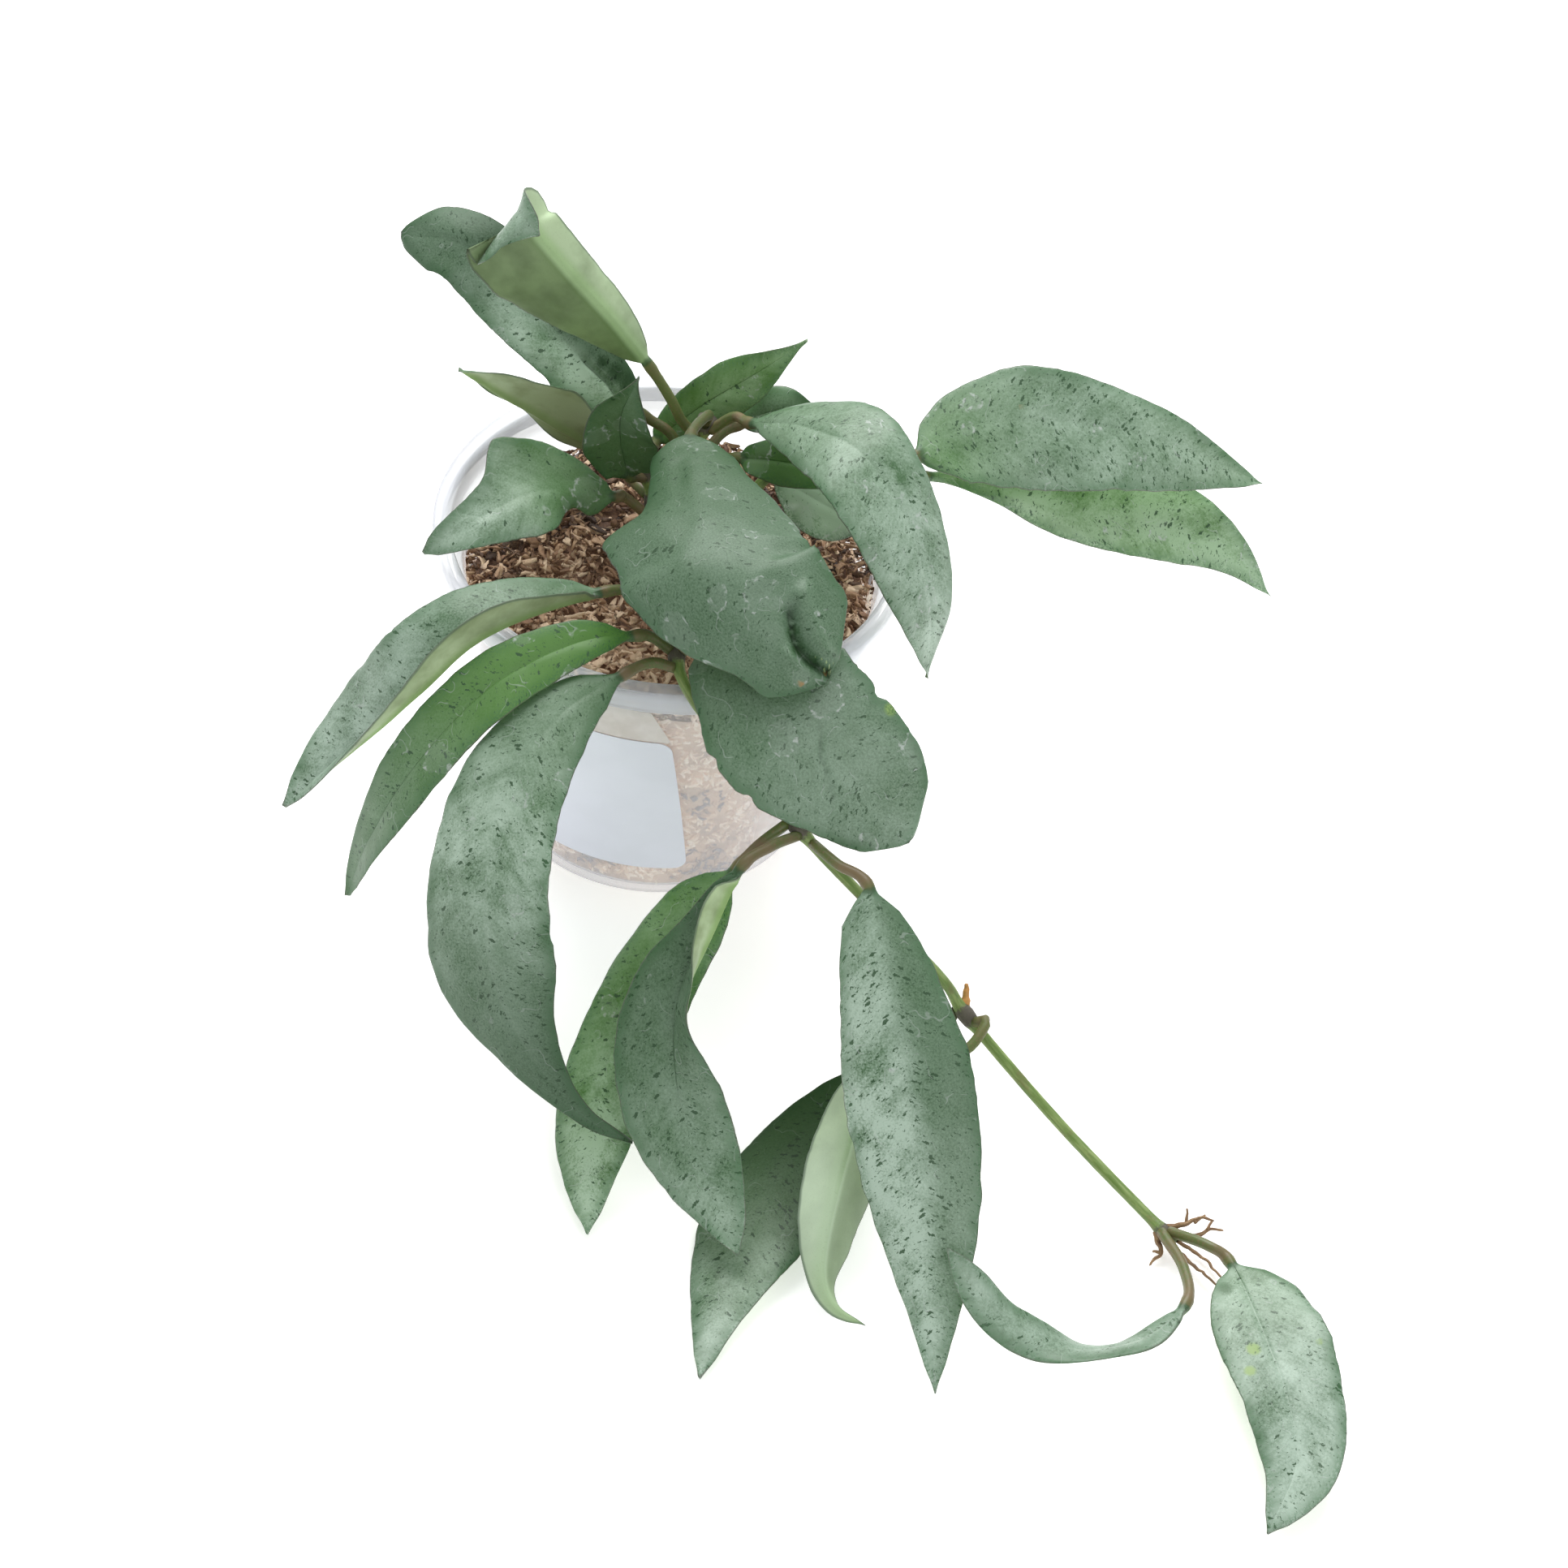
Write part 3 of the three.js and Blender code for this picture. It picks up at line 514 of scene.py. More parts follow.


# %% [markdown]
# The upper side is laid on in coats, as a painter would: sage or fresh green, the silver bloom over it
# with painted sheen in it, then blotches, flecks, the dark band by the margin, dried drops, tan spots and
# the brown margin itself. Last comes painted shade, where other leaves shade the blade, where it turns
# away from the light and in the hollows of its creases.

# %% Upper side of a leaf
def build_leaf_top():
    tree, shader, material = new_material("leaf_upper_side")
    place = tree.read("leaf_mm")
    edge = tree.read("edge_mm", "Fac")
    stalk = tree.read("stalk", "Fac")
    dark = tree.read("dark", "Fac")
    tone = tree.parts(tree.read("tone"))
    green, silver, flecked = tone[0], tone[1], tone[2]
    marked = tree.parts(tree.read("marks_mm"))
    grain = tree.group(GRAIN, {"Place": place})
    parts = tree.parts(place)
    from_rib = tree.sum("ABSOLUTE", parts[1])
    slanted = tree.sum("SUBTRACT", parts[0], from_rib)
    veins = tree.put("CombineXYZ", {0: slanted, 1: from_rib, 2: parts[2]})
    streak = tree.noise(tree.vector("MULTIPLY", veins.outputs[0], (0.9, 0.22, 1.0)), 1.0, 3.0)

    bloom = tree.step(tree.scaled(streak, 0.3, grain["Cloud"]), 0.33, 0.97)
    dusty = tree.sum("ADD", bloom, tree.times(tree.from_half(grain["Fine"]), 1.0))
    rib_band = tree.times(tree.step(from_rib, 2.6, 0.5), 0.15)
    # The silver amount is the leaf's bloom together with painted sheen, set higher where the blade catches
    # the lamp and on leaves that lie in the shade of others.
    share = tree.times(tree.sum("ADD", dusty, rib_band), silver, clamp=True)
    sage = tree.blend(tree.step(grain["Fine"], 0.3, 0.7), SAGE_DARK, SAGE)
    sage = tree.blend(share, sage, SILVER)
    young = tree.blend(share, FRESH_GREEN, FRESH_PALE)
    colour = tree.blend(green, sage, young)
    small = tree.group(FLECKS, {"Place": place, "Spacing": 0.55, "Amount": tree.times(flecked, 1.3)})
    large = tree.group(FLECKS, {"Place": place, "Spacing": 1.35, "Amount": tree.times(flecked, 1.25)})
    blotch = tree.scaled(grain["Fine"], 1.2, marked[0])
    colour = tree.blend(tree.step(marked[1], 0.4, -0.3), colour, FRESH_YELLOW)
    colour = tree.tint(colour, tree.step(blotch, 1.5, 0.3), 0.75, BLOTCH_GREEN)
    marks = tree.sum("MAXIMUM", large["Mask"], tree.times(small["Mask"], 0.8))
    colour = tree.tint(colour, marks, 0.9, FLECK_GREEN)
    near_edge = tree.times(tree.step(edge, 2.4, 0.1), tree.step(grain["Fine"], 0.36, 0.6))
    colour = tree.tint(colour, near_edge, 0.65, EDGE_GREEN)
    drops = tree.group(DRIED_DROPS, {"Place": place, "Amount": 0.45})
    colour = tree.tint(colour, drops["Mask"], 0.72, DROP_WHITE)
    colour = tree.blend(tree.step(marked[2], 0.1, -0.25), colour, SPOT_TAN)
    rim = tree.times(tree.step(edge, 0.22, 0.06), tree.step(grain["Cloud"], 0.3, 0.6))
    colour = tree.tint(colour, rim, 0.6, MARGIN_BROWN)
    colour = stalk_colour(tree, stalk, grain, colour)
    # Painted shade: where the dark value is set, TOP_IN_SHADE darkens the blade for the shade of other
    # leaves, for sides turned away from the light and for the hollows of creases; coat and sheen drop
    # there too.
    colour = tree.blend(dark, colour, TOP_IN_SHADE, "MULTIPLY")

    gloss = tree.scaled(grain["Fine"], 0.22, tree.scaled(silver, -0.16, 0.44))
    relief = tree.scaled(grain["Fine"], 0.5, tree.times(marks, -0.35))
    relief = tree.scaled(drops["Mask"], 0.6, relief)
    feed(
        tree, shader, Base_Color=colour, Roughness=gloss, Normal=bump(tree, relief, 0.00006, 0.6),
        Coat_Weight=tree.scaled(dark, -0.2, 0.2, clamp=True), Coat_Roughness=0.3, IOR=1.45,
        Specular_IOR_Level=tree.scaled(dark, -0.35, 0.5, clamp=True),
    )
    return material


LEAF_TOP = build_leaf_top()
print("leaf material:", LEAF_TOP.name)

# %% [markdown]
# The underside has no bloom and no flecks. It is a paler and duller green with a light midrib, and on
# two leaves at the back it is olive. On two leaves painted shade darkens the far half, where another
# leaf shades it.

# %% Underside of a leaf
def build_leaf_underside():
    tree, shader, material = new_material("leaf_underside")
    place = tree.read("leaf_mm")
    edge = tree.read("edge_mm", "Fac")
    stalk = tree.read("stalk", "Fac")
    under = tree.parts(tree.read("under"))
    olive, pale, shade = under[0], under[1], under[2]
    grain = tree.group(GRAIN, {"Place": place, "Fine Scale": 4.0, "Cloud Scale": 0.09})
    parts = tree.parts(place)
    from_rib = tree.sum("ABSOLUTE", parts[1])

    tint = tree.sum("ADD", tree.step(grain["Cloud"], 0.35, 0.68), tree.times(grain["Fine"], 0.25))
    colour = tree.blend(tint, UNDER_GREEN, UNDER_PALE)
    colour = tree.tint(colour, tree.step(from_rib, 2.0, 0.2), 0.7, UNDER_RIB)
    colour = tree.blend(pale, colour, UNDER_SILVER)
    colour = tree.tint(colour, olive, 0.85, UNDER_OLIVE)
    speck = tree.step(grain["Fine"], 0.56, 0.7)
    colour = tree.tint(colour, speck, 0.18, UNDER_OLIVE)
    colour = tree.tint(colour, tree.step(edge, 0.5, 0.15), 0.7, UNDER_EDGE)
    # Painted shade: UNDER_IN_SHADE darkens the far half where the shade value is set, as another leaf
    # shades it.
    far_half_shade = tree.times(tree.step(parts[1], 0.2, 1.2), shade)
    colour = tree.blend(far_half_shade, colour, UNDER_IN_SHADE, "MULTIPLY")
    colour = stalk_colour(tree, stalk, grain, colour)
    relief = tree.times(grain["Fine"], 0.5)
    feed(
        tree, shader, Base_Color=colour, Roughness=tree.scaled(grain["Fine"], 0.2, 0.42),
        Normal=bump(tree, relief, 0.00005, 0.5), IOR=1.42,
    )
    return material


LEAF_UNDERSIDE = build_leaf_underside()
print("leaf material:", LEAF_UNDERSIDE.name)

# %% [markdown]
# Four stems come out of the growing medium. They are green and slightly knotty: at each joint, where
# leaves leave them, they swell and turn grey-brown. Three stay short in the cup, and the fourth climbs
# over the rim and lies down to the table. A bevelled curve would be quick, but it has one thickness, so
# each stem is a skin of rings whose radius follows the joints.

# %% Stems
VINE_RADIUS = 0.85
NODE_SWELLING = 0.5
STALK_RADIUS = 0.85
STEM_SIDES = 20
RING_STEP = 0.6
STEM_LUMPS = 0.03
JOINT_LUMPS = 0.07
JOINT_REACH = 2.0
STEM_ROUND = 5.0

STEMS = {
    "crown_stem": dict(
        route=[[3, 9, 42], [1, 13, 50], [1, 16, 57], [3, 18, 64]], nodes=[0.72, 0.97], radius=1.1,
    ),
    "left_stem": dict(
        route=[[-2, 1, 42], [-4, 4, 49], [-4, 7, 55], [-6, 9, 60]], nodes=[0.7, 0.97], radius=1.0,
    ),
    "right_vine": dict(
        route=[[7, 2, 42], [9, 6, 50], [13, 12, 58], [22, 16, 61], [31, 17, 59]], nodes=[0.98], radius=0.9,
    ),
    "front_vine": dict(
        route=[
            [3, -6, 42], [3, -12, 52], [3, -20, 58], [3, -29, 59.2], [7.2, -39.4, 57.4],
            [25, -51, 45], [36, -54, 35], [49, -56, 22], [54, -58, 16], [70, -70, 7.5], [88, -85.5, 2.5],
        ],
        nodes=[0.13, 0.22, 0.43, 0.7, 0.99],
        radius=VINE_RADIUS,
    ),
}
for stem in STEMS.values():
    stem["line"] = Route(stem["route"])

STEM_GREEN = (0.12, 0.2, 0.045)
STEM_LIGHT = (0.24, 0.32, 0.11)
JOINT_BROWN = (0.1, 0.09, 0.07)


def joint_nearness(stem, u):
    away = np.abs(np.array(stem["nodes"])[:, None] - u[None, :]).min(axis=0) * stem["line"].length
    return np.exp(-((away / JOINT_REACH) ** 2))


def stem_radius(stem, u):
    return stem["radius"] + NODE_SWELLING * joint_nearness(stem, u)


def build_stem_material():
    tree, shader, material = new_material("green_stem")
    place = tree.read("stem_mm")
    joint = tree.read("joint", "Fac")
    grain = tree.group(GRAIN, {"Place": place, "Fine Scale": 2.4, "Cloud Scale": 0.3})
    streak = tree.noise(tree.vector("MULTIPLY", place, (0.25, 1.6, 1.6)), 1.0, 3.0)
    colour = tree.blend(tree.step(streak, 0.35, 0.7), STEM_GREEN, STEM_LIGHT)
    colour = tree.tint(colour, tree.step(grain["Cloud"], 0.52, 0.68), 0.45, STALK_BLUSH)
    bark = tree.sum("ADD", joint, tree.times(tree.from_half(grain["Fine"]), 0.8))
    bark = tree.step(bark, 0.3, 0.75)
    colour = tree.blend(bark, colour, JOINT_BROWN)
    relief = tree.times(tree.sum("ADD", grain["Fine"], streak), tree.scaled(bark, 1.0, 0.4))
    feed(
        tree, shader, Base_Color=colour, Roughness=tree.scaled(bark, 0.3, 0.42),
        Normal=bump(tree, relief, 0.00012, 0.7), IOR=1.45,
    )
    return material


def build_stem(number, name, stem):
    line = stem["line"]
    shares = np.linspace(0, 1, int(line.length / RING_STEP) + 1)
    radii = stem_radius(stem, shares)[:, None] * np.ones(STEM_SIDES)
    rings = tube(line, shares, radii, STEM_SIDES)
    nearness = joint_nearness(stem, shares)[:, None]
    lumps = 1 + (STEM_LUMPS + JOINT_LUMPS * nearness) * rough(rings, 0.9, number * 7.0)
    middles = line.at(shares)[:, None, :]
    points, faces = joined([middles + (rings - middles) * lumps[..., None]])
    turn = np.arange(STEM_SIDES) / STEM_SIDES * STEM_ROUND
    place = np.broadcast_arrays((shares * line.length)[:, None], turn, number * 9.0)
    values = {
        "stem_mm": np.stack(place, -1).reshape(-1, 3),
        "joint": np.broadcast_to(nearness, rings.shape[:2]).ravel(),
    }
    make_piece(name + "_grown", points, faces, [GREEN_STEM], values, replaced=[name])
    print(name, round(line.length, 1), "mm long")


GREEN_STEM = build_stem_material()
for number, (name, stem) in enumerate(STEMS.items()):
    build_stem(number, name, stem)

# %% [markdown]
# The plant has twenty-four leaves, each a thick pointed blade on a short round stalk. They differ in
# every way that matters to the look: how long and broad they are, how they arch or twist, how far their
# halves fold up and how silvery they are. So every leaf is written down like a gardener's note: where
# it leaves its stem, a few points for the stalk and for the midrib, which way its upper side faces, and
# its own breadth, folds, marks and tones. Lengths are millimetres and angles are degrees. A notch has
# its share of the blade, depth and size; a crease its points, depth and size; and a blotch, a fresh
# patch or a tan spot its place along and across the blade and its radius.

# %% Leaves, one note each
# In a note, dark and shade mark painted shade on the upper side and the underside, and silver holds the
# bloom together with painted sheen.
PLAIN_LEAF = dict(
    width=18, widest=0.42, fold=6, curl=-14, wave=0.5, waves=2.3, phase=0, green=0.1, silver=0.7,
    flecks=0.6, dark=0, olive=0, pale=0, shade=0, pucker=0.22, groove=0.12, blunt=0.05,
    notches=(), creases=(), blotches=(), fresh=(), spots=(), slot="leaf_silver",
)
LEAVES = [
    dict(
        name="leaf_back_long", stem="crown_stem", at=0.66, stalk=[[-3, 18, 60]],
        rib=[[-8, 19, 62.5], [-18, 20, 71], [-28, 24, 79], [-38, 28, 84], [-48, 31, 82]],
        face=[[0.2, -0.6, 0.75], [0.1, -0.5, 0.85], [-0.6, -0.4, 0.6]],
        left=dict(breadths=[4.5, 5, 6, 7.2, 7.2, 6.5, 5.5, 4.6], notches=((0.26, -0.9, 1.5),)),
        right=dict(breadths=[2, 5, 6.5, 7, 6.8, 6.4, 5.6, 4.5], dark=[0.6, 1, 1.2, 1.2, 1, 0.4, 0.3]),
        curl=-20, blunt=0.12, creases=(([(3.8, -0.9), (7.5, 0.2), (12.5, 0.2)], 0.7, 0.4),),
        blotches=((4, 2.2, 1.6), (7, 2, 1.2), (10, 1.8, 0.7)), pucker=0.35,
        dark=[0.5, 0, 0, 0, 0.2, 0.4, 0.4], green=[0.5, 0.2, 0.1], silver=[0.8, 1.2, 0.9, 0.4, 0.15],
    ),
    dict(
        name="leaf_back_rolled", stem="crown_stem", at=0.86, stalk=[[-1, 14, 66], [-3, 13, 71]],
        rib=[[-7, 13.5, 77], [-12.5, 12, 85.5], [-18.8, 11.2, 93.4], [-24.8, 11.2, 100.6],
          [-26.8, 12.2, 103.2], [-27.8, 10.8, 104.6], [-26.2, 8.2, 105.4], [-24, 7.2, 103.6]],
        face=[[-0.48, 0.83, -0.1], [-0.48, 0.83, -0.15], [-0.46, 0.82, -0.22], [-0.43, 0.81, -0.3],
          [-0.41, 0.8, -0.34], [-0.42, 0.8, -0.32], [-0.55, 0.75, -0.1], [-0.86, 0.2, 0.4],
          [-0.1, -0.7, 0.7]],
        left=dict(breadths=[0.8, 2.4, 3.4, 4, 4.3, 4.4, 4.5, 4.3, 2.8, 0.5], curl=[10, 20, 20, 10, 0]),
        right=dict(breadths=[1, 4, 6.4, 8.2, 9.6, 10.6, 11, 10.6, 8.6, 0.5], curl=[10, 45, 50, 40, 20,
          0, -10]),
        slot="leaf_pale_underside", silver=0.5, flecks=0.3, pale=0.25, shade=[1, 1, 0.9, 0.5],
        creases=(([(27, 4.5), (21, 3.4), (17, 4)], -0.35, 0.35),),
    ),
    dict(
        name="leaf_back_olive", stem="left_stem", at=0.75, stalk=[[-9.5, 12, 56]],
        rib=[[-12, 14, 57.4], [-20, 14.5, 61.4], [-28, 14, 66.4], [-36, 12.5, 72]],
        face=[[0.1, 0.95, 0.1], [0, 0.9, 0.2], [0, 0.8, 0.5]],
        left=dict(breadths=[2, 6.4, 8.8, 9.4, 8.2, 5.4, 0.8], curl=-28),
        right=dict(breadths=[2, 3, 2.4, 1.6, 1, 0.7, 0.4]),
        fold=8, slot="leaf_pale_underside", green=0.5, silver=0.6, olive=[0.9, 0.75, 0.5, 0.1],
    ),
    dict(
        name="leaf_small_upright", stem="left_stem", at=0.93, stalk=[[-7, 6.5, 60]],
        rib=[[-8, 5.6, 61], [-9.4, 4.6, 68], [-9.5, 2.5, 76], [-7.3, 1.3, 84]],
        face=[[0, -0.8, 0.4], [0, -0.9, 0.3]],
        width=12.5, widest=0.4, fold=18, curl=10, slot="leaf_dark", green=0.5, silver=[0.0, 0.1, 0.4],
        flecks=0.2, dark=0.5,
    ),
    dict(
        name="leaf_left_twisted", stem="left_stem", at=0.6, stalk=[[-8.5, 4.8, 57]],
        rib=[[-9.8, 3.4, 58], [-15, 1.4, 60.2], [-22, -4.6, 63.6], [-30, -12, 62.5], [-37, -15, 58]],
        face=[[-0.1, -0.6, 0.8], [-0.2, -0.5, 0.85], [-0.3, -0.5, 0.8]],
        left=dict(breadths=[1.5, 3.8, 2.8, 4.2, 6.6, 6.8, 5.8, 4.8, 3.6, 2.2, 0.5], fold=-5, curl=-10),
        right=dict(breadths=[1.2, 2.4, 5, 7.2, 8.6, 9.6, 5.4, 4.2, 3.4, 2.2, 0.5], fold=6, curl=30),
        green=[0.6, 0.5, 0.2, 0.15], silver=[0.1, 0.35, 0.95, 0.9], flecks=0.3, pucker=0.35,
    ),
    dict(
        name="leaf_broad_middle", stem="crown_stem", at=0.97, stalk=[[3, 13, 68.5]],
        rib=[[1, 4, 71], [4, -12, 75.5], [7, -27, 78], [12, -36, 75.5], [26.2, -42.4, 67.6]],
        face=[[0.05, -0.5, 0.8], [0.05, -0.65, 0.75], [0.2, -0.7, 0.65]],
        left=dict(breadths=[6.5, 7.4, 8.6, 11, 13.4, 14.4, 15.2, 14.8, 14, 12.4, 9], fold=-4, curl=-22),
        right=dict(breadths=[4.5, 6, 6.9, 7.4, 8.1, 8.8, 10.2, 15, 16.3, 15.8, 15.1, 15.2, 15, 13.6,
          12, 10.2, 8.8, 8.2, 8, 7.6, 5], fold=-4, curl=-26),
        blunt=0.09, pucker=0.35,
        creases=(([(50, -4.3), (52.6, -1.9), (54.4, -0.8), (56.6, -0.5), (59, -0.9),
          (61, -1.4)], 2.3, 0.7), ([(49.6, -7.6), (53, -5.4), (56, -3.6), (58.2, -2.8)], -1.8, 1.3),
          ([(54.2, 1), (57.2, 1.6)], -1.1, 1.2), ([(8, 2), (22, 3.5)], 0.3, 1.2)),
        blotches=((54.6, -0.7, 0.8), (52.4, -2.2, 0.7), (57.5, -0.7, 0.7)),
        spots=((58.1, 2.8, 0.6), (60, -0.9, 0.5)), green=[0.2, 0.1, 0.1], silver=[0, 0.05, 0.2, 0.15],
        flecks=0.5, dark=[0.5, 0.4, 0.25, 0.15],
    ),
    dict(
        name="leaf_broad_front", stem="front_vine", at=0.22, stalk=[[7, -28.5, 63]],
        rib=[[8.5, -31, 62.5], [13.5, -38, 62.5], [21, -44.5, 60.5], [30, -47.7, 55],
          [41.5, -51.4, 46.4]],
        face=[[0.1, -0.6, 0.8], [0.1, -0.75, 0.65], [0.2, -0.8, 0.55]],
        left=dict(breadths=[3, 9, 13.2, 13.2, 12, 10, 4.5], notches=((0.6, 1.0, 1.1),)),
        right=dict(breadths=[4.5, 8, 11.8, 12.6, 11, 8.4, 4.5], notches=((0.33, 0.7, 0.9),
          (0.49, 0.8, 1.0))),
        fold=0, curl=-13, blunt=0.09,
        creases=(([(23, -2.6), (26, 0.6), (29, 1.9), (32.4, 4.4)], 0.4, 0.3),),
        fresh=((29.2, -11.5, 0.8),), pucker=0.3, green=[0.2, 0.1, 0.1], silver=[0.1, 0.25, 0.35, 0.55],
    ),
    dict(
        name="leaf_right_arching", stem="crown_stem", at=0.93, stalk=[[7, 16.5, 66]],
        rib=[[10, 13, 68], [18, 5, 75], [27, -3, 78], [35, -10, 72], [40.2, -17, 61.8],
          [41.4, -21, 50.6]],
        face=[[0, -0.5, 0.85], [0.3, -0.5, 0.8], [0.65, -0.55, 0.5], [0.8, -0.55, 0.2]],
        left=dict(breadths=[0.5, 6, 8.8, 8.2, 7.4, 5, 0.5]),
        right=dict(breadths=[0.5, 4.5, 7.6, 9.6, 9.2, 6, 0.5]),
        curl=-24, blotches=((32.6, -2.7, 0.7), (30.4, -2.9, 0.4), (34.8, -2.6, 0.3)),
        green=[0.3, 0.15, 0.15], silver=[0.3, 0.5, 0.9, 1.4], flecks=0.9,
    ),
    dict(
        name="leaf_right_under", stem="right_vine", at=0.52, stalk=[[14, 11, 61.5]],
        rib=[[15, 9.5, 61], [20, 8, 59], [25, 6, 58], [31, 4.5, 57]],
        face=[[0, -0.6, 0.8], [0.3, -0.6, 0.7]],
        width=11, widest=0.5, slot="leaf_green", green=0.35, silver=2.2, flecks=0.15,
    ),
    dict(
        name="leaf_right_dark", stem="crown_stem", at=0.78, stalk=[[6.5, 13, 60.5]],
        rib=[[9, 11.5, 62], [14.5, 9.5, 64], [21.5, 8, 64.6], [28, 8.5, 62]],
        face=[[0, -0.7, 0.7], [0.1, -0.6, 0.8]],
        width=8, widest=0.45, fold=14, groove=0.3, slot="leaf_dark", green=0.8, silver=0.0, flecks=0.1,
        dark=0.3,
    ),
    dict(
        name="leaf_back_green", stem="left_stem", at=0.85, stalk=[[-5, 15.5, 55]],
        rib=[[-5, 21.5, 55], [2, 23, 62.5], [9.5, 23.5, 69.5], [17, 24.5, 76.5]],
        face=[[0, -0.9, 0.4], [0.1, -0.9, 0.4]],
        width=9, widest=0.45, fold=10, slot="leaf_green", green=[1, 0.95, 0.9], silver=[0.3, 0.8, 1],
        flecks=0.2,
    ),
    dict(
        name="leaf_back_low", stem="crown_stem", at=0.62, stalk=[[5, 20, 59]],
        rib=[[8.2, 22, 60.2], [13, 22.5, 63], [20, 22.5, 65]],
        face=[[0, -0.6, 0.8], [0, -0.6, 0.8]],
        width=8, widest=0.5, fold=20, slot="leaf_dark", green=0.3, silver=0.15, flecks=0.3,
    ),
    dict(
        name="leaf_pair_upper", stem="right_vine", at=0.985, stalk=[[34, 18, 61]],
        rib=[[36, 18, 61.5], [40, 22, 62.5], [46, 25, 63.5], [58, 28, 63.5], [74, 32, 59],
          [93, 34, 51]],
        face=[[0, -0.6, 0.8], [0.1, -0.5, 0.85]],
        left=dict(breadths=[1.5, 6.2, 8.8, 8.4, 7, 5.2, 2.6, 0.3]),
        right=dict(breadths=[7, 9.4, 11, 11.2, 10, 8, 4.5, 0.5]),
        fold=5, curl=-10, groove=0.03, spots=((19, -2.2, 0.5),), green=[0.6, 0.2, 0.2, 0.35],
        silver=[0.3, 0.6, 0.7, 0.8], flecks=1,
    ),
    dict(
        name="leaf_pair_lower", stem="right_vine", at=0.9, stalk=[[32.5, 13.5, 57.8], [35, 15.5, 57]],
        rib=[[38, 18.5, 57], [50, 20, 54.5], [63, 21, 50.5], [79, 26, 45.4], [88.6, 26.6, 41.4],
          [97, 25, 35]],
        face=[[0, -0.6, 0.8], [0.1, -0.5, 0.85]],
        left=dict(breadths=[0.5, 3.4, 5, 6.2, 7, 7.8, 8.8, 8.4, 5.6, 2.8, 0.4]),
        right=dict(breadths=[0.5, 1.2, 2.2, 3.3, 4.2, 5, 5.4, 5, 3.7, 2, 0.4]),
        fold=4, groove=0.05, slot="leaf_green", green=[0.8, 0.8, 0.6], silver=[1.2, 1.4, 1.4],
        flecks=0.9,
    ),
    dict(
        name="leaf_left_upper", stem="front_vine", at=0.13, stalk=[[-3, -18.5, 59]],
        rib=[[-9, -21.5, 60.5], [-18.6, -29.4, 61.8], [-26.6, -36.2, 60.6], [-34.2, -41.4, 53.6],
          [-43.5, -43.2, 42.3], [-52.8, -46.8, 32.2]],
        face=[[0, -0.5, 0.85], [-0.2, -0.5, 0.85], [-0.5, -0.5, 0.7], [-0.6, -0.5, 0.6]],
        left=dict(breadths=[0.8, 3.6, 5.6, 5.4, 4.4, 3.4, 2.4, 0.5], fold=[90, 104, 96, 60, 15],
          curl=-10),
        right=dict(breadths=[1, 5, 8.4, 10.2, 10.8, 9.8, 6.4, 0.6]),
        green=[0.3, 0.1, 0.1], silver=[0.3, 0.6, 0.9, 1], flecks=0.7, olive=[0.6, 0.2, 0],
    ),
    dict(
        name="leaf_left_middle", stem="front_vine", at=0.215, stalk=[[-0.5, -31, 61.5]],
        rib=[[-3, -32, 62.2], [-11.7, -36.8, 63.3], [-23, -43.6, 58.9], [-32.8, -49.7, 46.8],
          [-38.4, -52.8, 34.8], [-42, -53, 21]],
        face=[[0, -0.3, 0.95], [-0.1, -0.5, 0.85], [-0.6, -0.6, 0.6], [-0.8, -0.5, 0.3]],
        breadths=[1, 3.6, 5, 5.2, 5, 4.8, 3.2, 0.4], fold=14, slot="leaf_green",
        green=[1, 0.9, 0.4, 0.3], silver=[0, 0.15, 0.3, 0.2], dark=[0.25, 0.05, 0.2],
    ),
    dict(
        name="leaf_left_lower", stem="front_vine", at=0.235, stalk=[[0, -35, 60]],
        rib=[[-4, -38, 59.5], [-12, -46.8, 58.2], [-18, -56.9, 52], [-19.6, -66.4, 41.7],
          [-17.2, -74, 30.7], [-10.7, -80.2, 21.7], [-2, -85, 15], [6, -86, 11]],
        face=[[-0.1, -0.5, 0.85], [-0.4, -0.7, 0.6], [-0.4, -0.8, 0.4], [-0.1, -0.8, 0.6]],
        breadths=[1.5, 5.2, 8.2, 9.8, 10.4, 10.1, 5.8, 2, 0.4], fold=4, curl=-18,
        green=[0.3, 0.15, 0.1], silver=[0.1, 0.6, 1.2, 0.5, 0.1, 0.1], flecks=0.7, pucker=0.3,
        dark=[0.35, 0.25, 0, 0.3, 0.55, 0.5],
    ),
    dict(
        name="leaf_front_left", stem="front_vine", at=0.42, stalk=[[19.2, -53.6, 43.6]],
        rib=[[16.2, -56.6, 41], [8, -63, 31], [3, -69, 20], [0, -78, 10], [1, -97, 2]],
        face=[[-0.5, -0.5, 0.7], [-0.3, -0.7, 0.6], [-0.1, -0.5, 0.85]],
        left=dict(breadths=[1, 5.8, 7.6, 8.4, 8, 7.4, 6.4, 3.6, 0.5]),
        right=dict(breadths=[1, 4.8, 5.6, 6.1, 6, 6.2, 6.2, 4, 0.5]),
        slot="leaf_green", green=[0.9, 0.7, 0.4], silver=[0.5, 0.8, 2.2], flecks=0.8,
    ),
    dict(
        name="leaf_front_twisted", stem="front_vine", at=0.435, stalk=[[21, -56, 46]],
        rib=[[17, -60, 45], [14, -65.7, 38.3], [10.4, -73.7, 29.3], [11.6, -81.9, 20.2],
          [17, -91, 12.1], [23.5, -101, 6.5]],
        face=[[0, -0.65, 0.75], [-0.2, -0.7, 0.7], [-0.1, -0.8, 0.6], [-0.1, -0.8, 0.6]],
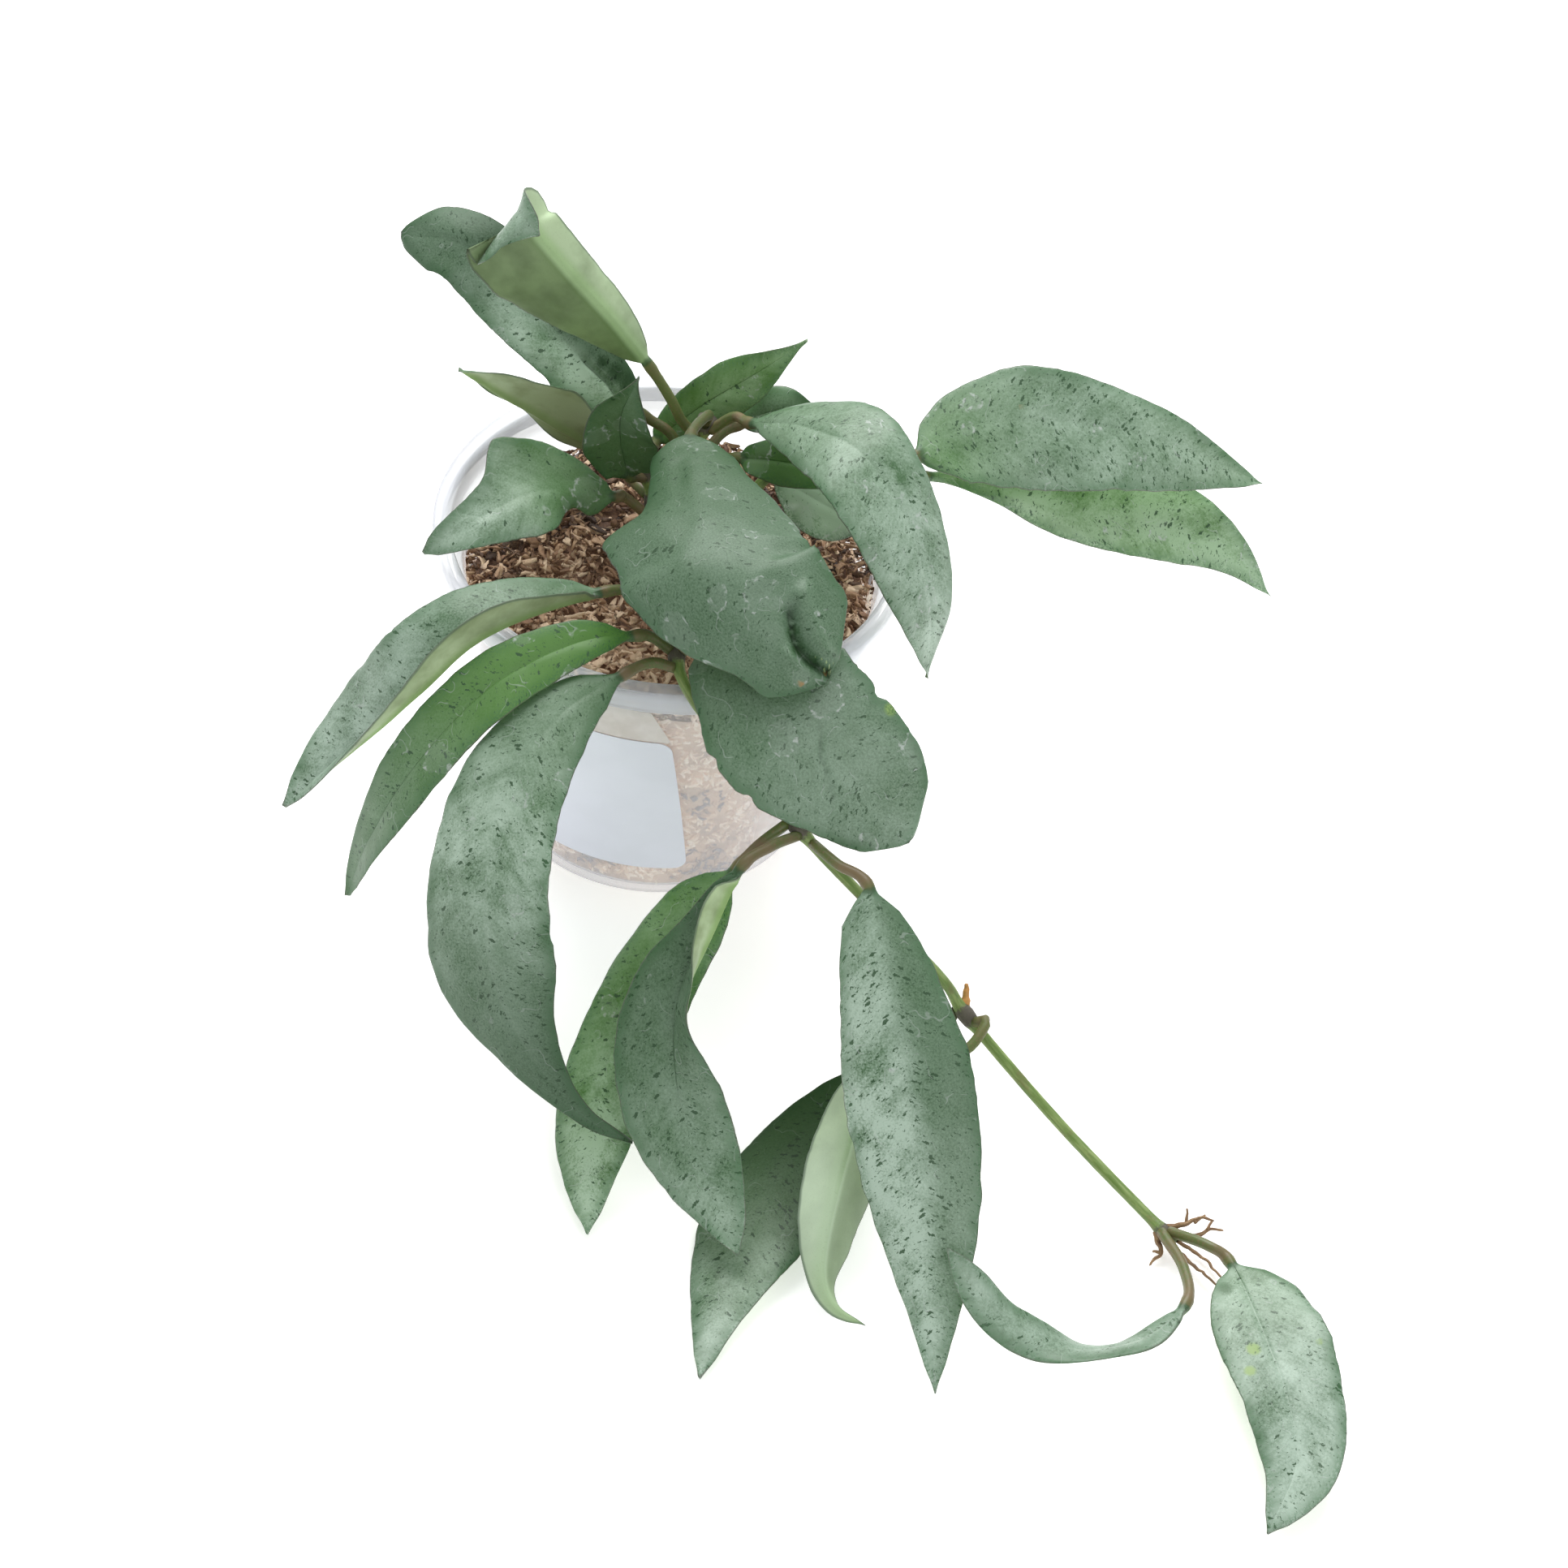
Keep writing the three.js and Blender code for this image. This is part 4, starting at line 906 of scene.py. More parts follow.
        left=dict(breadths=[1, 4.6, 5, 5, 5, 6.6, 7.4, 7, 6, 4, 0.6], fold=[125, 120, 102, 66, 52, 30,
          16, 8, 4, 2, 2], curl=[0, 0, 10, 10, 0, -14]),
        right=dict(breadths=[1, 3.2, 4.9, 7.2, 8.5, 9, 8.9, 8.2, 6.2, 3.2, 0.5]),
        green=0.15, silver=[0.1, 0.3, 0.8], flecks=0.85, dark=[0.3, 0.4, 0.1, 0],
    ),
    dict(
        name="leaf_table_dark", stem="front_vine", at=0.69, stalk=[[49, -59, 9]],
        rib=[[45, -61, 7], [37, -69, 5], [29, -83, 3.8], [24, -98, 2.9], [20, -120, 1.6]],
        face=[[-0.2, -0.3, 0.9], [-0.2, -0.2, 0.95]],
        left=dict(breadths=[1, 5, 8.5, 10.2, 9.8, 8, 5.6, 2.8, 0.5], curl=-6),
        right=dict(breadths=[1, 4.5, 7, 8.2, 8.6, 8, 6.2, 3.4, 0.5]),
        fold=2, groove=0.04, slot="leaf_dark", green=[0.6, 0.4, 0.1], silver=[0.0, 0.05, 0.7, 1.1],
        flecks=0.9, dark=[1.2, 0.9, 0.35, 0],
    ),
    dict(
        name="leaf_table_pale", stem="front_vine", at=0.71,
        stalk=[[56.5, -60, 18], [54.5, -64, 16.5], [51, -66, 15.5]],
        rib=[[46, -69, 16], [39.5, -77, 16.5], [36.6, -91, 14], [35.6, -103, 9], [38, -108, 6.4],
          [43, -110, 5.4]],
        face=[[-0.1, 0.4, -0.9], [-0.4, 0.5, -0.8], [-0.5, 0.5, -0.7]],
        left=dict(breadths=[1, 3.6, 4.6, 4.8, 5, 5.2, 4.9, 3.7, 1.9, 1.1, 0.4]),
        right=dict(breadths=[1, 4, 5.3, 6.4, 7.4, 8, 7.2, 5.8, 3.2, 1, 0.4], shade=[0, 0.2, 0.6, 0.6,
          0]),
        fold=16, curl=16, slot="leaf_pale_underside", silver=0.8, pale=[0.5, 0.6, 0.7, 0.3],
    ),
    dict(
        name="leaf_front_long", stem="front_vine", at=0.45, stalk=[[31, -56.5, 44.5]],
        rib=[[36, -60, 44], [40, -71, 39], [44.5, -84, 30], [49.5, -98, 18], [54, -118, 2]],
        face=[[0, -0.5, 0.85], [0.05, -0.65, 0.75], [0, -0.6, 0.8]],
        left=dict(breadths=[1, 5.4, 7.9, 9.7, 9.5, 8.4, 6.4, 3.4, 0.4], silver=[0.3, 0.15, 0.5, 1],
          dark=[0.2, 0.15, 0]),
        right=dict(breadths=[4.5, 7, 8.5, 9.8, 9.8, 8.6, 6, 3, 0.4], fold=-8, curl=-30),
        fold=8, curl=-10, green=0.12, silver=[0.8, 1.3, 1.9, 1.6, 1.3], flecks=1,
    ),
    dict(
        name="leaf_end_curved", stem="front_vine", at=0.985, stalk=[[89, -93, 6]],
        rib=[[89, -101, 7.5], [82, -108.5, 7], [73, -111.5, 7.5], [62, -110, 11], [53, -104, 18]],
        face=[[0.1, 0.8, 0.6], [0, 0.6, 0.8], [-0.1, -0.1, 1], [-0.1, -0.4, 0.9]],
        breadths=[0.6, 2.4, 3.3, 3.6, 3.6, 3.3, 2.6, 0.3], fold=4, flecks=0.5,
    ),
    dict(
        name="leaf_end", stem="front_vine", at=0.99, stalk=[[92.5, -88.5, 6.5]],
        rib=[[96, -91, 6], [100, -103, 7.5], [104, -115, 7], [105.5, -125, 5], [102, -135, 2]],
        face=[[0, -0.3, 0.9], [0, -0.2, 0.97]],
        left=dict(breadths=[1, 7, 8.6, 9, 8.5, 7.9, 6.5, 4.2, 0.8]),
        right=dict(breadths=[1, 5.2, 7, 7.1, 6.9, 6.3, 5.2, 2.8, 0.4]),
        fold=10, curl=-12, blotches=((5.2, 2.9, 0.9),),
        fresh=((16.8, 2.5, 1.0), (20.3, 4.2, 0.8), (18.3, -7.1, 0.4)), green=[0.3, 0.1, 0.1],
        silver=[0.9, 1, 1], flecks=0.55,
    ),
]
print(len(LEAVES), "leaves")

# %% [markdown]
# A leaf's skin is built in rings that follow the stalk and then the midrib. On the stalk a ring is
# round. Over the first few millimetres of the blade it opens into a thin lens, thicker at the midrib,
# with a shallow groove above and a soft keel below. The two halves can fold, curl and wave on their
# own. Points also store their place on the leaf, their distance to the margin and the leaf's tones, for
# the finish to use. A flat card with a painted leaf would be lighter, but its edge would show at once.

# %% Leaf skins
STALK_STEPS = 16
BLADE_STEPS = 80
HALF_ACROSS = 15
BLADE_MIDDLE = 1.05
BLADE_MARGIN = 0.5
KEEL = 0.35
ROUND_SHARE = 0.94
COLLAR_SWELLING = 0.22
EDGE_WAVY = 0.035
EDGE_FINE = 0.012
LEFT_PHASE = 0.37


def half_breadth(side, u):
    """Half the blade's breadth, from its base at 0 to its tip at 1."""
    if "breadths" in side:
        ends = np.clip(u / 0.06, 0, 1) ** 0.5 * np.clip((1.002 - u) / side["blunt"], 0, 1) ** 0.5
        return np.maximum(along(side["breadths"], u), 0.3) * ends
    swell = np.sin(np.pi * np.clip(u, 0, 1) ** (math.log(0.5) / math.log(side["widest"])))
    return side["width"] / 2 * np.maximum(swell, 0) ** (0.45 + 0.85 * u)


def line_distance(along_mm, across_mm, corners):
    """Millimetres from each point of the blade to a bent line drawn on it."""
    nearest = np.full(along_mm.shape, 1e3)
    for (ax, ay), (bx, by) in zip(corners, corners[1:]):
        dx, dy = bx - ax, by - ay
        t = np.clip(((along_mm - ax) * dx + (across_mm - ay) * dy) / (dx * dx + dy * dy + 1e-9), 0, 1)
        nearest = np.minimum(nearest, np.hypot(along_mm - ax - t * dx, across_mm - ay - t * dy))
    return nearest


def spot_distance(along_mm, across_mm, spots):
    """Millimetres from each point of the blade to the nearest of some round spots (u, a, radius)."""
    nearest = np.full(along_mm.shape, 50.0)
    for x, y, radius in spots:
        nearest = np.minimum(nearest, np.hypot(along_mm - x, across_mm - y) - radius)
    return nearest


def leaving_point(stem, at, target):
    """Where a stalk starts on a stem's skin, on its way to the target."""
    joint, grain = stem["line"].at([at])[0], stem["line"].heading([at])[0]
    ahead = unit(np.array(target, float) - joint)
    outward = unit(ahead - grain * np.dot(ahead, grain))
    return joint + outward * (stem_radius(stem, np.array([at]))[0] - 0.3)


print("points round a leaf:", 2 * (2 * HALF_ACROSS + 1))

# %% [markdown]
# The left and the right half of a blade are worked out one at a time: first how far the margin stands
# out, then how the half folds, curls and waves. What the finish has to know is gathered last.

# %% Halves of a blade
def half_margin(side, number, is_right, u, past, blade, least):
    """Half breadths down one side of a leaf, a little uneven and with its notches."""
    wavy, fine = (
        np.array([noise.noise(Vector((p * scale, number * row, is_right * far))) for p in past])
        for scale, row, far in ((0.33, 3.1, 9.0), (1.3, 5.3, 4.0))
    )
    half = half_breadth(side, np.clip(u, 0, 1)) * (1 + EDGE_WAVY * wavy + EDGE_FINE * fine)
    for at, depth, size in side["notches"]:
        half = half - depth * np.exp(-(((past - at * blade) / size) ** 2))
    return np.maximum(np.where(u > 0, half, 0)[:, None], least * 0.95)


def bent_half(side, is_right, half, v, reach, flat):
    """How one half of the blade lies: its way sideways, its way up and its lean."""
    fold = np.radians(along(side["fold"], v))[:, None]
    curl = np.radians(along(side["curl"], v))[:, None]
    curl = np.where(np.abs(curl) < 1e-3, 1e-3, curl)
    turn = fold + curl * reach
    phase = side["phase"] + (0 if is_right else LEFT_PHASE)
    wave = side["wave"] * reach**2 * np.sin(2 * np.pi * (side["waves"] * v[:, None] + phase))
    bent_x = half / curl * (np.sin(turn) - np.sin(fold))
    bent_y = half / curl * (np.cos(fold) - np.cos(turn)) + wave
    round_x = half * np.sin(reach * np.pi / 2 * ROUND_SHARE)
    sign = 1 if is_right else -1
    return sign * (round_x * (1 - flat) + bent_x * flat), bent_y * flat, sign * turn * flat


def both(field):
    """A field of the upper side, and the same backwards for the underside."""
    return np.concatenate([field, field[:, ::-1]], axis=1).ravel()


def leaf_values(leaf, number, u, v, a, blade, along_mm, across_mm, half_width, crease_shade):
    """What the finish has to know at each point of a leaf."""
    left, right = {**leaf, **leaf.get("left", {})}, {**leaf, **leaf.get("right", {})}
    share = soft_step(a, -0.5, 0.5)[None, :]

    def spread(key):
        return both(along(left[key], v)[:, None] * (1 - share) + along(right[key], v)[:, None] * share)

    past = along_mm[:, :1]
    margin = np.minimum(half_width * (1 - np.abs(a)[None, :]), (1 - v[:, None]) * blade)
    collar_mm = np.where(past > 0, past + 0.8 * np.abs(across_mm), past)
    kinds = ("blotches", "fresh", "spots")
    marks = [both(spot_distance(along_mm, across_mm, leaf[kind])) for kind in kinds]
    place = (both(along_mm), both(across_mm), np.full(2 * along_mm.size, number * 31.0))
    return {
        "leaf_mm": np.stack(place, -1),
        "edge_mm": both(np.where(u[:, None] > 0, margin, 5.0)),
        "stalk": both(1 - soft_step(collar_mm, -0.6, 2.2)),
        "tone": np.stack([spread("green"), spread("silver"), spread("flecks")], -1),
        # Painted shade: the note's own shaded places and the hollows of its creases.
        "dark": np.maximum(spread("dark"), both(crease_shade)),
        "under": np.stack([spread("olive"), spread("pale"), spread("shade")], -1),
        "marks_mm": np.stack(marks, -1),
    }


print("uneven margins: within", round(100 * (EDGE_WAVY + EDGE_FINE), 1), "percent")

# %% [markdown]
# Now each leaf is built from its note: the line, the rings along it, the two halves, bumps and creases,
# the thickness, and last the mesh with its values.

# %% Build the leaves
def build_leaf(number, leaf):
    leaf = {**PLAIN_LEAF, **leaf}
    start = leaving_point(STEMS[leaf["stem"]], leaf["at"], leaf["stalk"][0])
    line = Route([start, *leaf["stalk"], *leaf["rib"]])
    base = line.share_at(len(leaf["stalk"]) + 1)
    blade = line.length * (1 - base)
    stalk_shares = base * np.linspace(0, 1, STALK_STEPS, endpoint=False)
    blade_shares = base + (1 - base) * np.linspace(0, 1, BLADE_STEPS + 1) ** 1.08
    shares = np.concatenate([stalk_shares, blade_shares])
    u = (shares - base) / (1 - base)
    v = np.clip(u, 0, 1)

    forward = line.heading(shares)
    up = along(leaf["face"], v)
    up = unit(up - forward * np.sum(up * forward, axis=1, keepdims=True))
    way_x, way_y = np.cross(forward, up)[:, None, :], up[:, None, :]
    even = np.linspace(-1, 1, 2 * HALF_ACROSS + 1)
    a = np.sign(even) * (0.7 * even**2 * (3 - 2 * np.abs(even)) + 0.3 * np.abs(even))
    reach = np.abs(a)[None, :]
    flat = soft_step(v, 0, 0.06)[:, None]
    tip = (1 - 0.85 * v**7)[:, None]
    past = u * blade
    collar = 1 + COLLAR_SWELLING * np.exp(-(((past + 0.8) / 1.1) ** 2)) * (past < 3)
    round_radius = STALK_RADIUS * collar[:, None] * tip

    x, y, lean, half_width = (np.zeros((len(u), len(a))) for _ in range(4))
    for is_right in (False, True):
        side = {**leaf, **leaf.get("right" if is_right else "left", {})}
        half = half_margin(side, number, is_right, u, past, blade, round_radius)
        mine = (a >= 0) if is_right else (a < 0)
        parts = (*bent_half(side, is_right, half, v, reach, flat), half * np.ones_like(x))
        for whole, part in zip((x, y, lean, half_width), parts):
            whole[:, mine] = part[:, mine]

    along_mm = np.broadcast_to(past[:, None], x.shape)
    across_mm = a[None, :] * half_width
    field = np.stack([along_mm * 0.15, across_mm * 0.2, np.full(x.shape, number * 7.7)], -1)
    bumps = leaf["pucker"] * (rough(field, 1.0) + 0.4 * rough(field, 2.3))
    y = y + bumps * flat * (1 - reach**4)
    crease_shade = np.zeros(x.shape)
    for corners, depth, size in leaf["creases"]:
        off = line_distance(along_mm, across_mm, corners)
        y = y - depth * np.exp(-((off / size) ** 2)) * flat
        # Painted shade lies in the hollow of each crease.
        crease_shade = np.maximum(crease_shade, np.exp(-((off / (0.55 * size)) ** 2)) * min(1, depth))

    thin = (BLADE_MIDDLE + (BLADE_MARGIN - BLADE_MIDDLE) * reach) / 2
    thin = thin * np.sqrt(1 - 0.96 * reach**8) * tip
    round_half = round_radius * np.cos(reach * np.pi / 2 * ROUND_SHARE)
    half_thick = round_half * (1 - flat) + thin * flat
    rib = flat * tip * (1 - 0.5 * v[:, None])
    above = half_thick - leaf["groove"] * np.exp(-((across_mm / 0.55) ** 2)) * rib
    below = half_thick + KEEL * np.exp(-((across_mm / 0.6) ** 2)) * rib

    skin = line.at(shares)[:, None, :] + x[..., None] * way_x + y[..., None] * way_y
    normal = -np.sin(lean)[..., None] * way_x + np.cos(lean)[..., None] * way_y
    upper = skin + above[..., None] * normal
    lower = (skin - below[..., None] * normal)[:, ::-1]
    points, faces = joined([np.concatenate([upper, lower], axis=1)])
    around = 2 * len(a)
    turn = np.arange(len(faces) - 2) % around
    make_piece(
        leaf["name"] + "_grown", points, faces, [LEAF_TOP, LEAF_UNDERSIDE],
        leaf_values(leaf, number, u, v, a, blade, along_mm, across_mm, half_width, crease_shade),
        finish_of=[*((turn >= len(a)) & (turn < around - 1)), False, False], replaced=[leaf["name"]],
    )
    return blade


lengths = [build_leaf(number, leaf) for number, leaf in enumerate(LEAVES)]
print("blades from", round(min(lengths), 1), "to", round(max(lengths), 1), "mm")

# %% [markdown]
# The joints of the long shoot carry small growths: an orange-brown bud where the shoot bends, a few
# branched tan roots feeling for something to hold at its end, and two dry strands left from old
# sheaths. They are short tubes that wander a little and thin out. Noise on a straight tube would look
# furry, so the middle line itself wanders.

# %% Bud, aerial roots and dry strands
TWIG_SIDES = 10
TWIG_RINGS = 24
TWIG_WANDER = 0.35
TWIG_LUMPS = 0.25
BRANCH_SHARE = 0.6
FLOOR_GAP = 0.25
ROOT_TAN = (0.42, 0.27, 0.14)
ROOT_BROWN = (0.16, 0.085, 0.04)
BUD_ORANGE = (0.55, 0.27, 0.07)

TWIGS = [
    dict(
        name="bud", at=0.69, thick=0.75, thin=0.3, bud=1.0,
        lines=[[[53.2, -55, 18.8], [52.9, -54.5, 19.9]]],
    ),
    dict(
        name="aerial_root_left", at=0.98, thick=0.5, thin=0.16,
        lines=[
            [[86, -86.8, 1.5], [85.2, -87.8, 1.1], [84.6, -89, 0.8]],
            [[86, -86.8, 1.5], [84.9, -86.8, 1.4]],
        ],
    ),
    dict(
        name="aerial_root_top", at=0.985, thick=0.5, thin=0.15,
        lines=[
            [[89.4, -83.6, 4.8], [91, -82.8, 5.8], [93.4, -83.4, 6.2]],
            [[89.4, -83.6, 4.8], [89.2, -81.8, 6.4]],
            [[90.6, -83.4, 5.3], [92.2, -81.6, 5.2]],
        ],
    ),
    dict(
        name="aerial_root_right", at=1.0, thick=0.45, thin=0.18,
        lines=[
            [[91.4, -84.2, 3.4], [93.2, -83.2, 4], [95.2, -82.9, 3.6]],
            [[92.4, -83.7, 3.7], [93.4, -82, 4.8]],
        ],
    ),
    dict(
        name="dry_strand_long", at=1.0, thick=0.5, thin=0.3, flat=0.4,
        lines=[[[90.7, -88, 1.4], [94.8, -91.9, 1.5]]],
    ),
    dict(
        name="dry_strand_short", at=1.0, thick=0.5, thin=0.3, flat=0.4,
        lines=[[[92, -86, 1], [95.4, -89.9, 1.1]]],
    ),
]


def build_root_material():
    tree, shader, material = new_material("dry_root")
    place = tree.read("twig_mm")
    bud = tree.read("bud", "Fac")
    grain = tree.group(GRAIN, {"Place": place, "Fine Scale": 3.0, "Cloud Scale": 0.8})
    streak = tree.noise(tree.vector("MULTIPLY", place, (0.5, 4.0, 4.0)), 1.0, 3.0)
    colour = tree.blend(tree.step(streak, 0.3, 0.7), ROOT_BROWN, ROOT_TAN)
    colour = tree.blend(tree.step(grain["Cloud"], 0.55, 0.7), colour, ROOT_BROWN)
    colour = tree.tint(colour, bud, 0.8, BUD_ORANGE)
    feed(
        tree, shader, Base_Color=colour, Roughness=tree.scaled(grain["Fine"], 0.3, 0.5),
        Normal=bump(tree, tree.sum("ADD", grain["Fine"], streak), 0.00012, 0.8),
    )
    return material


def build_twig(number, twig):
    start = leaving_point(STEMS["front_vine"], twig["at"], twig["lines"][0][0])
    skins, place = [], []
    for k, corners in enumerate(twig["lines"]):
        line = Route([start, *corners] if k == 0 else corners)
        shares = np.linspace(0, 1, TWIG_RINGS)
        middles = line.at(shares)
        seeds = [number * 11 + k * 3 + axis * 17 for axis in range(3)]
        wander = np.stack([rough(middles, 0.8, seed) for seed in seeds], -1)
        bent = Route(middles + wander * TWIG_WANDER * np.sin(np.pi * shares)[:, None])
        thick = twig["thick"] if k == 0 else twig["thick"] * BRANCH_SHARE
        radii = (thick + (twig["thin"] - thick) * shares) * np.where(shares > 0.97, 0.5, 1)
        angles = 2 * np.pi * np.arange(TWIG_SIDES) / TWIG_SIDES
        squash = 1 - (1 - twig.get("flat", 1)) * np.abs(np.sin(angles))
        rings = tube(bent, shares, radii[:, None] * squash, TWIG_SIDES)
        lumps = TWIG_LUMPS * rough(rings, 1.4, number)[..., None]
        rings = rings + (rings - bent.at(shares)[:, None]) * lumps
        rings[..., 2] = np.maximum(rings[..., 2], FLOOR_GAP)
        skins.append(rings)
        turn = np.arange(TWIG_SIDES) / TWIG_SIDES * 2
        where = np.broadcast_arrays((shares * line.length)[:, None], turn, number * 9.0 + k)
        place.append(np.stack(where, -1).reshape(-1, 3))
    points, faces = joined(skins)
    values = {"twig_mm": np.concatenate(place), "bud": np.full(len(points), twig.get("bud", 0.0))}
    make_piece(
        twig["name"] + "_grown", points, faces, [DRY_ROOT], values, replaced=[twig["name"]],
    )


DRY_ROOT = build_root_material()
for number, twig in enumerate(TWIGS):
    build_twig(number, twig)
print(len(TWIGS), "small growths")

# %% [markdown]
# The cup is filled with shredded bark and moss: dark gaps, brown fibres, orange-brown flakes and pale
# curled shavings, one to four millimetres long. Seen from above the shreds lie every way, and against
# the clear wall they are pressed flat. A rough surface with a bark finish would not cast the small
# shadows that make it look loose. So a dark core fills the cup, and thousands of thin curled shreds
# cover its top and its side. Each of the two layers is one plain mesh, made from arrays.

# %% Bark finishes
WALL = 0.8
BASE_RADIUS = 25.5
WALL_TOP_RADIUS = 33.5
WALL_TOP = 49.6
MEDIUM_TOP = 46.9
TOP_SHREDS = 6800
SIDE_SHREDS = 7000
SHRED_STEPS = 4
RAGGED = 0.13
SEED = 5
TOP_REACH = 33
SIDE_RADIUS = 30
WALL_GAP = 0.2
TOP_GAP = 0.3

BARK_TONES = ((0.02, (0.062, 0.038, 0.029)), (0.25, (0.17, 0.095, 0.058)), (0.5, (0.32, 0.18, 0.105)))
BARK_TONES += ((0.75, (0.5, 0.33, 0.21)), (0.98, (0.7, 0.52, 0.37)))
# The bark behind the wall has lighter tones than the top's: partly its own paler fibres, partly painted
# light that lifts it out of the shade inside the cup.
WALL_TONES_WITH_PAINTED_LIGHT = ((0.02, (0.33, 0.3, 0.31)), (0.2, (0.5, 0.39, 0.32)), (0.5, (0.7, 0.54, 0.43)))
WALL_TONES_WITH_PAINTED_LIGHT += ((0.75, (0.8, 0.67, 0.55)), (0.98, (0.88, 0.79, 0.69)))
# Painted light: both bark finishes glow a little in their own colours, the bark behind the wall more.
BARK_PAINTED_GLOW = 0.06
WALL_PAINTED_GLOW = 0.38


def wall_radius(z):
    return BASE_RADIUS + (WALL_TOP_RADIUS - BASE_RADIUS) * z / WALL_TOP


def build_shred_material(name, tones, painted_glow):
    tree, shader, material = new_material(name)
    place = tree.own_place()
    fine = tree.noise(place, 2600.0, 3.0)
    patches = tree.noise(place, 90.0, 3.0)
    shade = tree.scaled(tree.from_half(fine), 0.45, tree.read("shade", "Fac"))
    shade = tree.scaled(tree.from_half(patches), 0.9, shade)
    ramp = tree.put("ValToRGB", {"Fac": shade})
    stops = ramp.color_ramp.elements
    for stop, (position, colour) in zip(stops, (tones[0], tones[-1])):
        stop.position, stop.color = position, (*colour, 1)
    for position, colour in tones[1:-1]:
        stops.new(position).color = (*colour, 1)
    # Painted light: the finish glows in its own colours.
    feed(
        tree, shader, Base_Color=ramp.outputs["Color"], Roughness=tree.scaled(fine, 0.3, 0.6),
        Normal=bump(tree, fine, 0.00015, 0.8),
        Emission_Color=ramp.outputs["Color"], Emission_Strength=painted_glow,
    )
    return material


BARK = build_shred_material("bark_and_moss", BARK_TONES, BARK_PAINTED_GLOW)
WALL_BARK = build_shred_material("bark_behind_the_wall", WALL_TONES_WITH_PAINTED_LIGHT, WALL_PAINTED_GLOW)
print("bark materials:", BARK.name, WALL_BARK.name)

# %% [markdown]
# A shred is a thin strip with four corners at each of a few steps. All the strips of a layer are bent
# and rolled at once, with numbers drawn from one seeded source, and then laid on the top or the wall.

# %% Curled shreds
def curled_shreds(count, source, flat_limit, lift, long, wide, upright):
    """Thin curled strips lying about the x-y plane: points (count, steps, 4, 3) in millimetres."""
    low, high = flat_limit
    start = np.stack([source.uniform(low[k], high[k], count) for k in (0, 1)], -1)
    length = source.uniform(0, 1, count) ** 1.6 * (long[1] - long[0]) + long[0]
    width = source.uniform(0, 1, count) ** 1.3 * (wide[1] - wide[0]) + wide[0]
    width = np.minimum(width, length * 0.7)
    thick = source.uniform(0.2, 0.5, count)
    way = source.uniform(0, 2 * np.pi, count)
    bend = source.normal(0, 1.3, count)
    rise = source.normal(0, upright, count)
    roll = source.normal(0, 0.5, count)
    height = source.uniform(0, lift, count)
    t = np.linspace(0, 1, SHRED_STEPS)[None, :]
    angle = way[:, None] + bend[:, None] * (t - 0.5)
    tilt = rise[:, None] * (1 - 1.6 * t)
    step = length[:, None] / (SHRED_STEPS - 1)
    heading = np.stack([np.cos(angle) * np.cos(tilt), np.sin(angle) * np.cos(tilt), np.sin(tilt)], -1)
    path = np.cumsum(heading * step[..., None], axis=1)
    path = path - path[:, SHRED_STEPS // 2:SHRED_STEPS // 2 + 1]
    path[..., 0] += start[:, 0:1]
    path[..., 1] += start[:, 1:2]
    path[..., 2] += height[:, None]
    side = np.stack([-np.sin(angle), np.cos(angle), np.zeros_like(angle)], -1)
    lift_way = np.cross(heading, side)
    turn = roll[:, None] * (1 + 1.5 * t)
    across = np.cos(turn)[..., None] * side + np.sin(turn)[..., None] * lift_way
    out = np.cross(heading, across)
    swell = np.sin(np.pi * (0.12 + 0.76 * t)) ** 0.7
    half_wide = (width[:, None] * swell / 2)[..., None]
    half_thick = (thick[:, None] * swell / 2)[..., None]
    cup = (0.25 * width[:, None] * swell)[..., None] * out
    wide_way, thick_way = across * half_wide, out * half_thick
    corners = [path + wide_way + cup, path + thick_way, path - wide_way + cup, path - thick_way]
    corners = np.stack(corners, axis=2)
    ragged = np.minimum(width, 1.0)[:, None, None, None]
    return corners + source.normal(0, RAGGED, corners.shape) * ragged


def lay_top(source):
    """Shreds on the medium's top: points, and a shade for each."""
    size = ((-TOP_REACH, -TOP_REACH), (TOP_REACH, TOP_REACH))
    top = curled_shreds(TOP_SHREDS, source, size, 2.2, (0.7, 3.6), (0.45, 1.7), 0.4)
    centre = top[:, SHRED_STEPS // 2].mean(axis=1)
    out = np.hypot(centre[:, 0], centre[:, 1])
    dome = 0.7 * rough(centre * [1, 1, 0], 0.09, 3.0) - 1.6 * soft_step(out, 26, TOP_REACH)
    top[..., 2] += (MEDIUM_TOP + dome)[:, None, None]
    inner = wall_radius(top[..., 2]) - WALL - TOP_GAP
    shrink = np.minimum(1, inner / np.maximum(np.hypot(top[..., 0], top[..., 1]), 1e-6))
    top[..., :2] *= shrink[..., None]
    shade = source.uniform(0, 1, len(top)) ** 1.2 + 0.14 * rough(centre, 0.14, 9.0)
    # Painted light: the shreds towards the front are lighter, as the back of the top lies in the leaves'
    # shade.
    shade += 0.55 * soft_step(-centre[:, 1], -6, 24)
    kept = out < TOP_REACH + 1
    return top[kept], shade[kept]


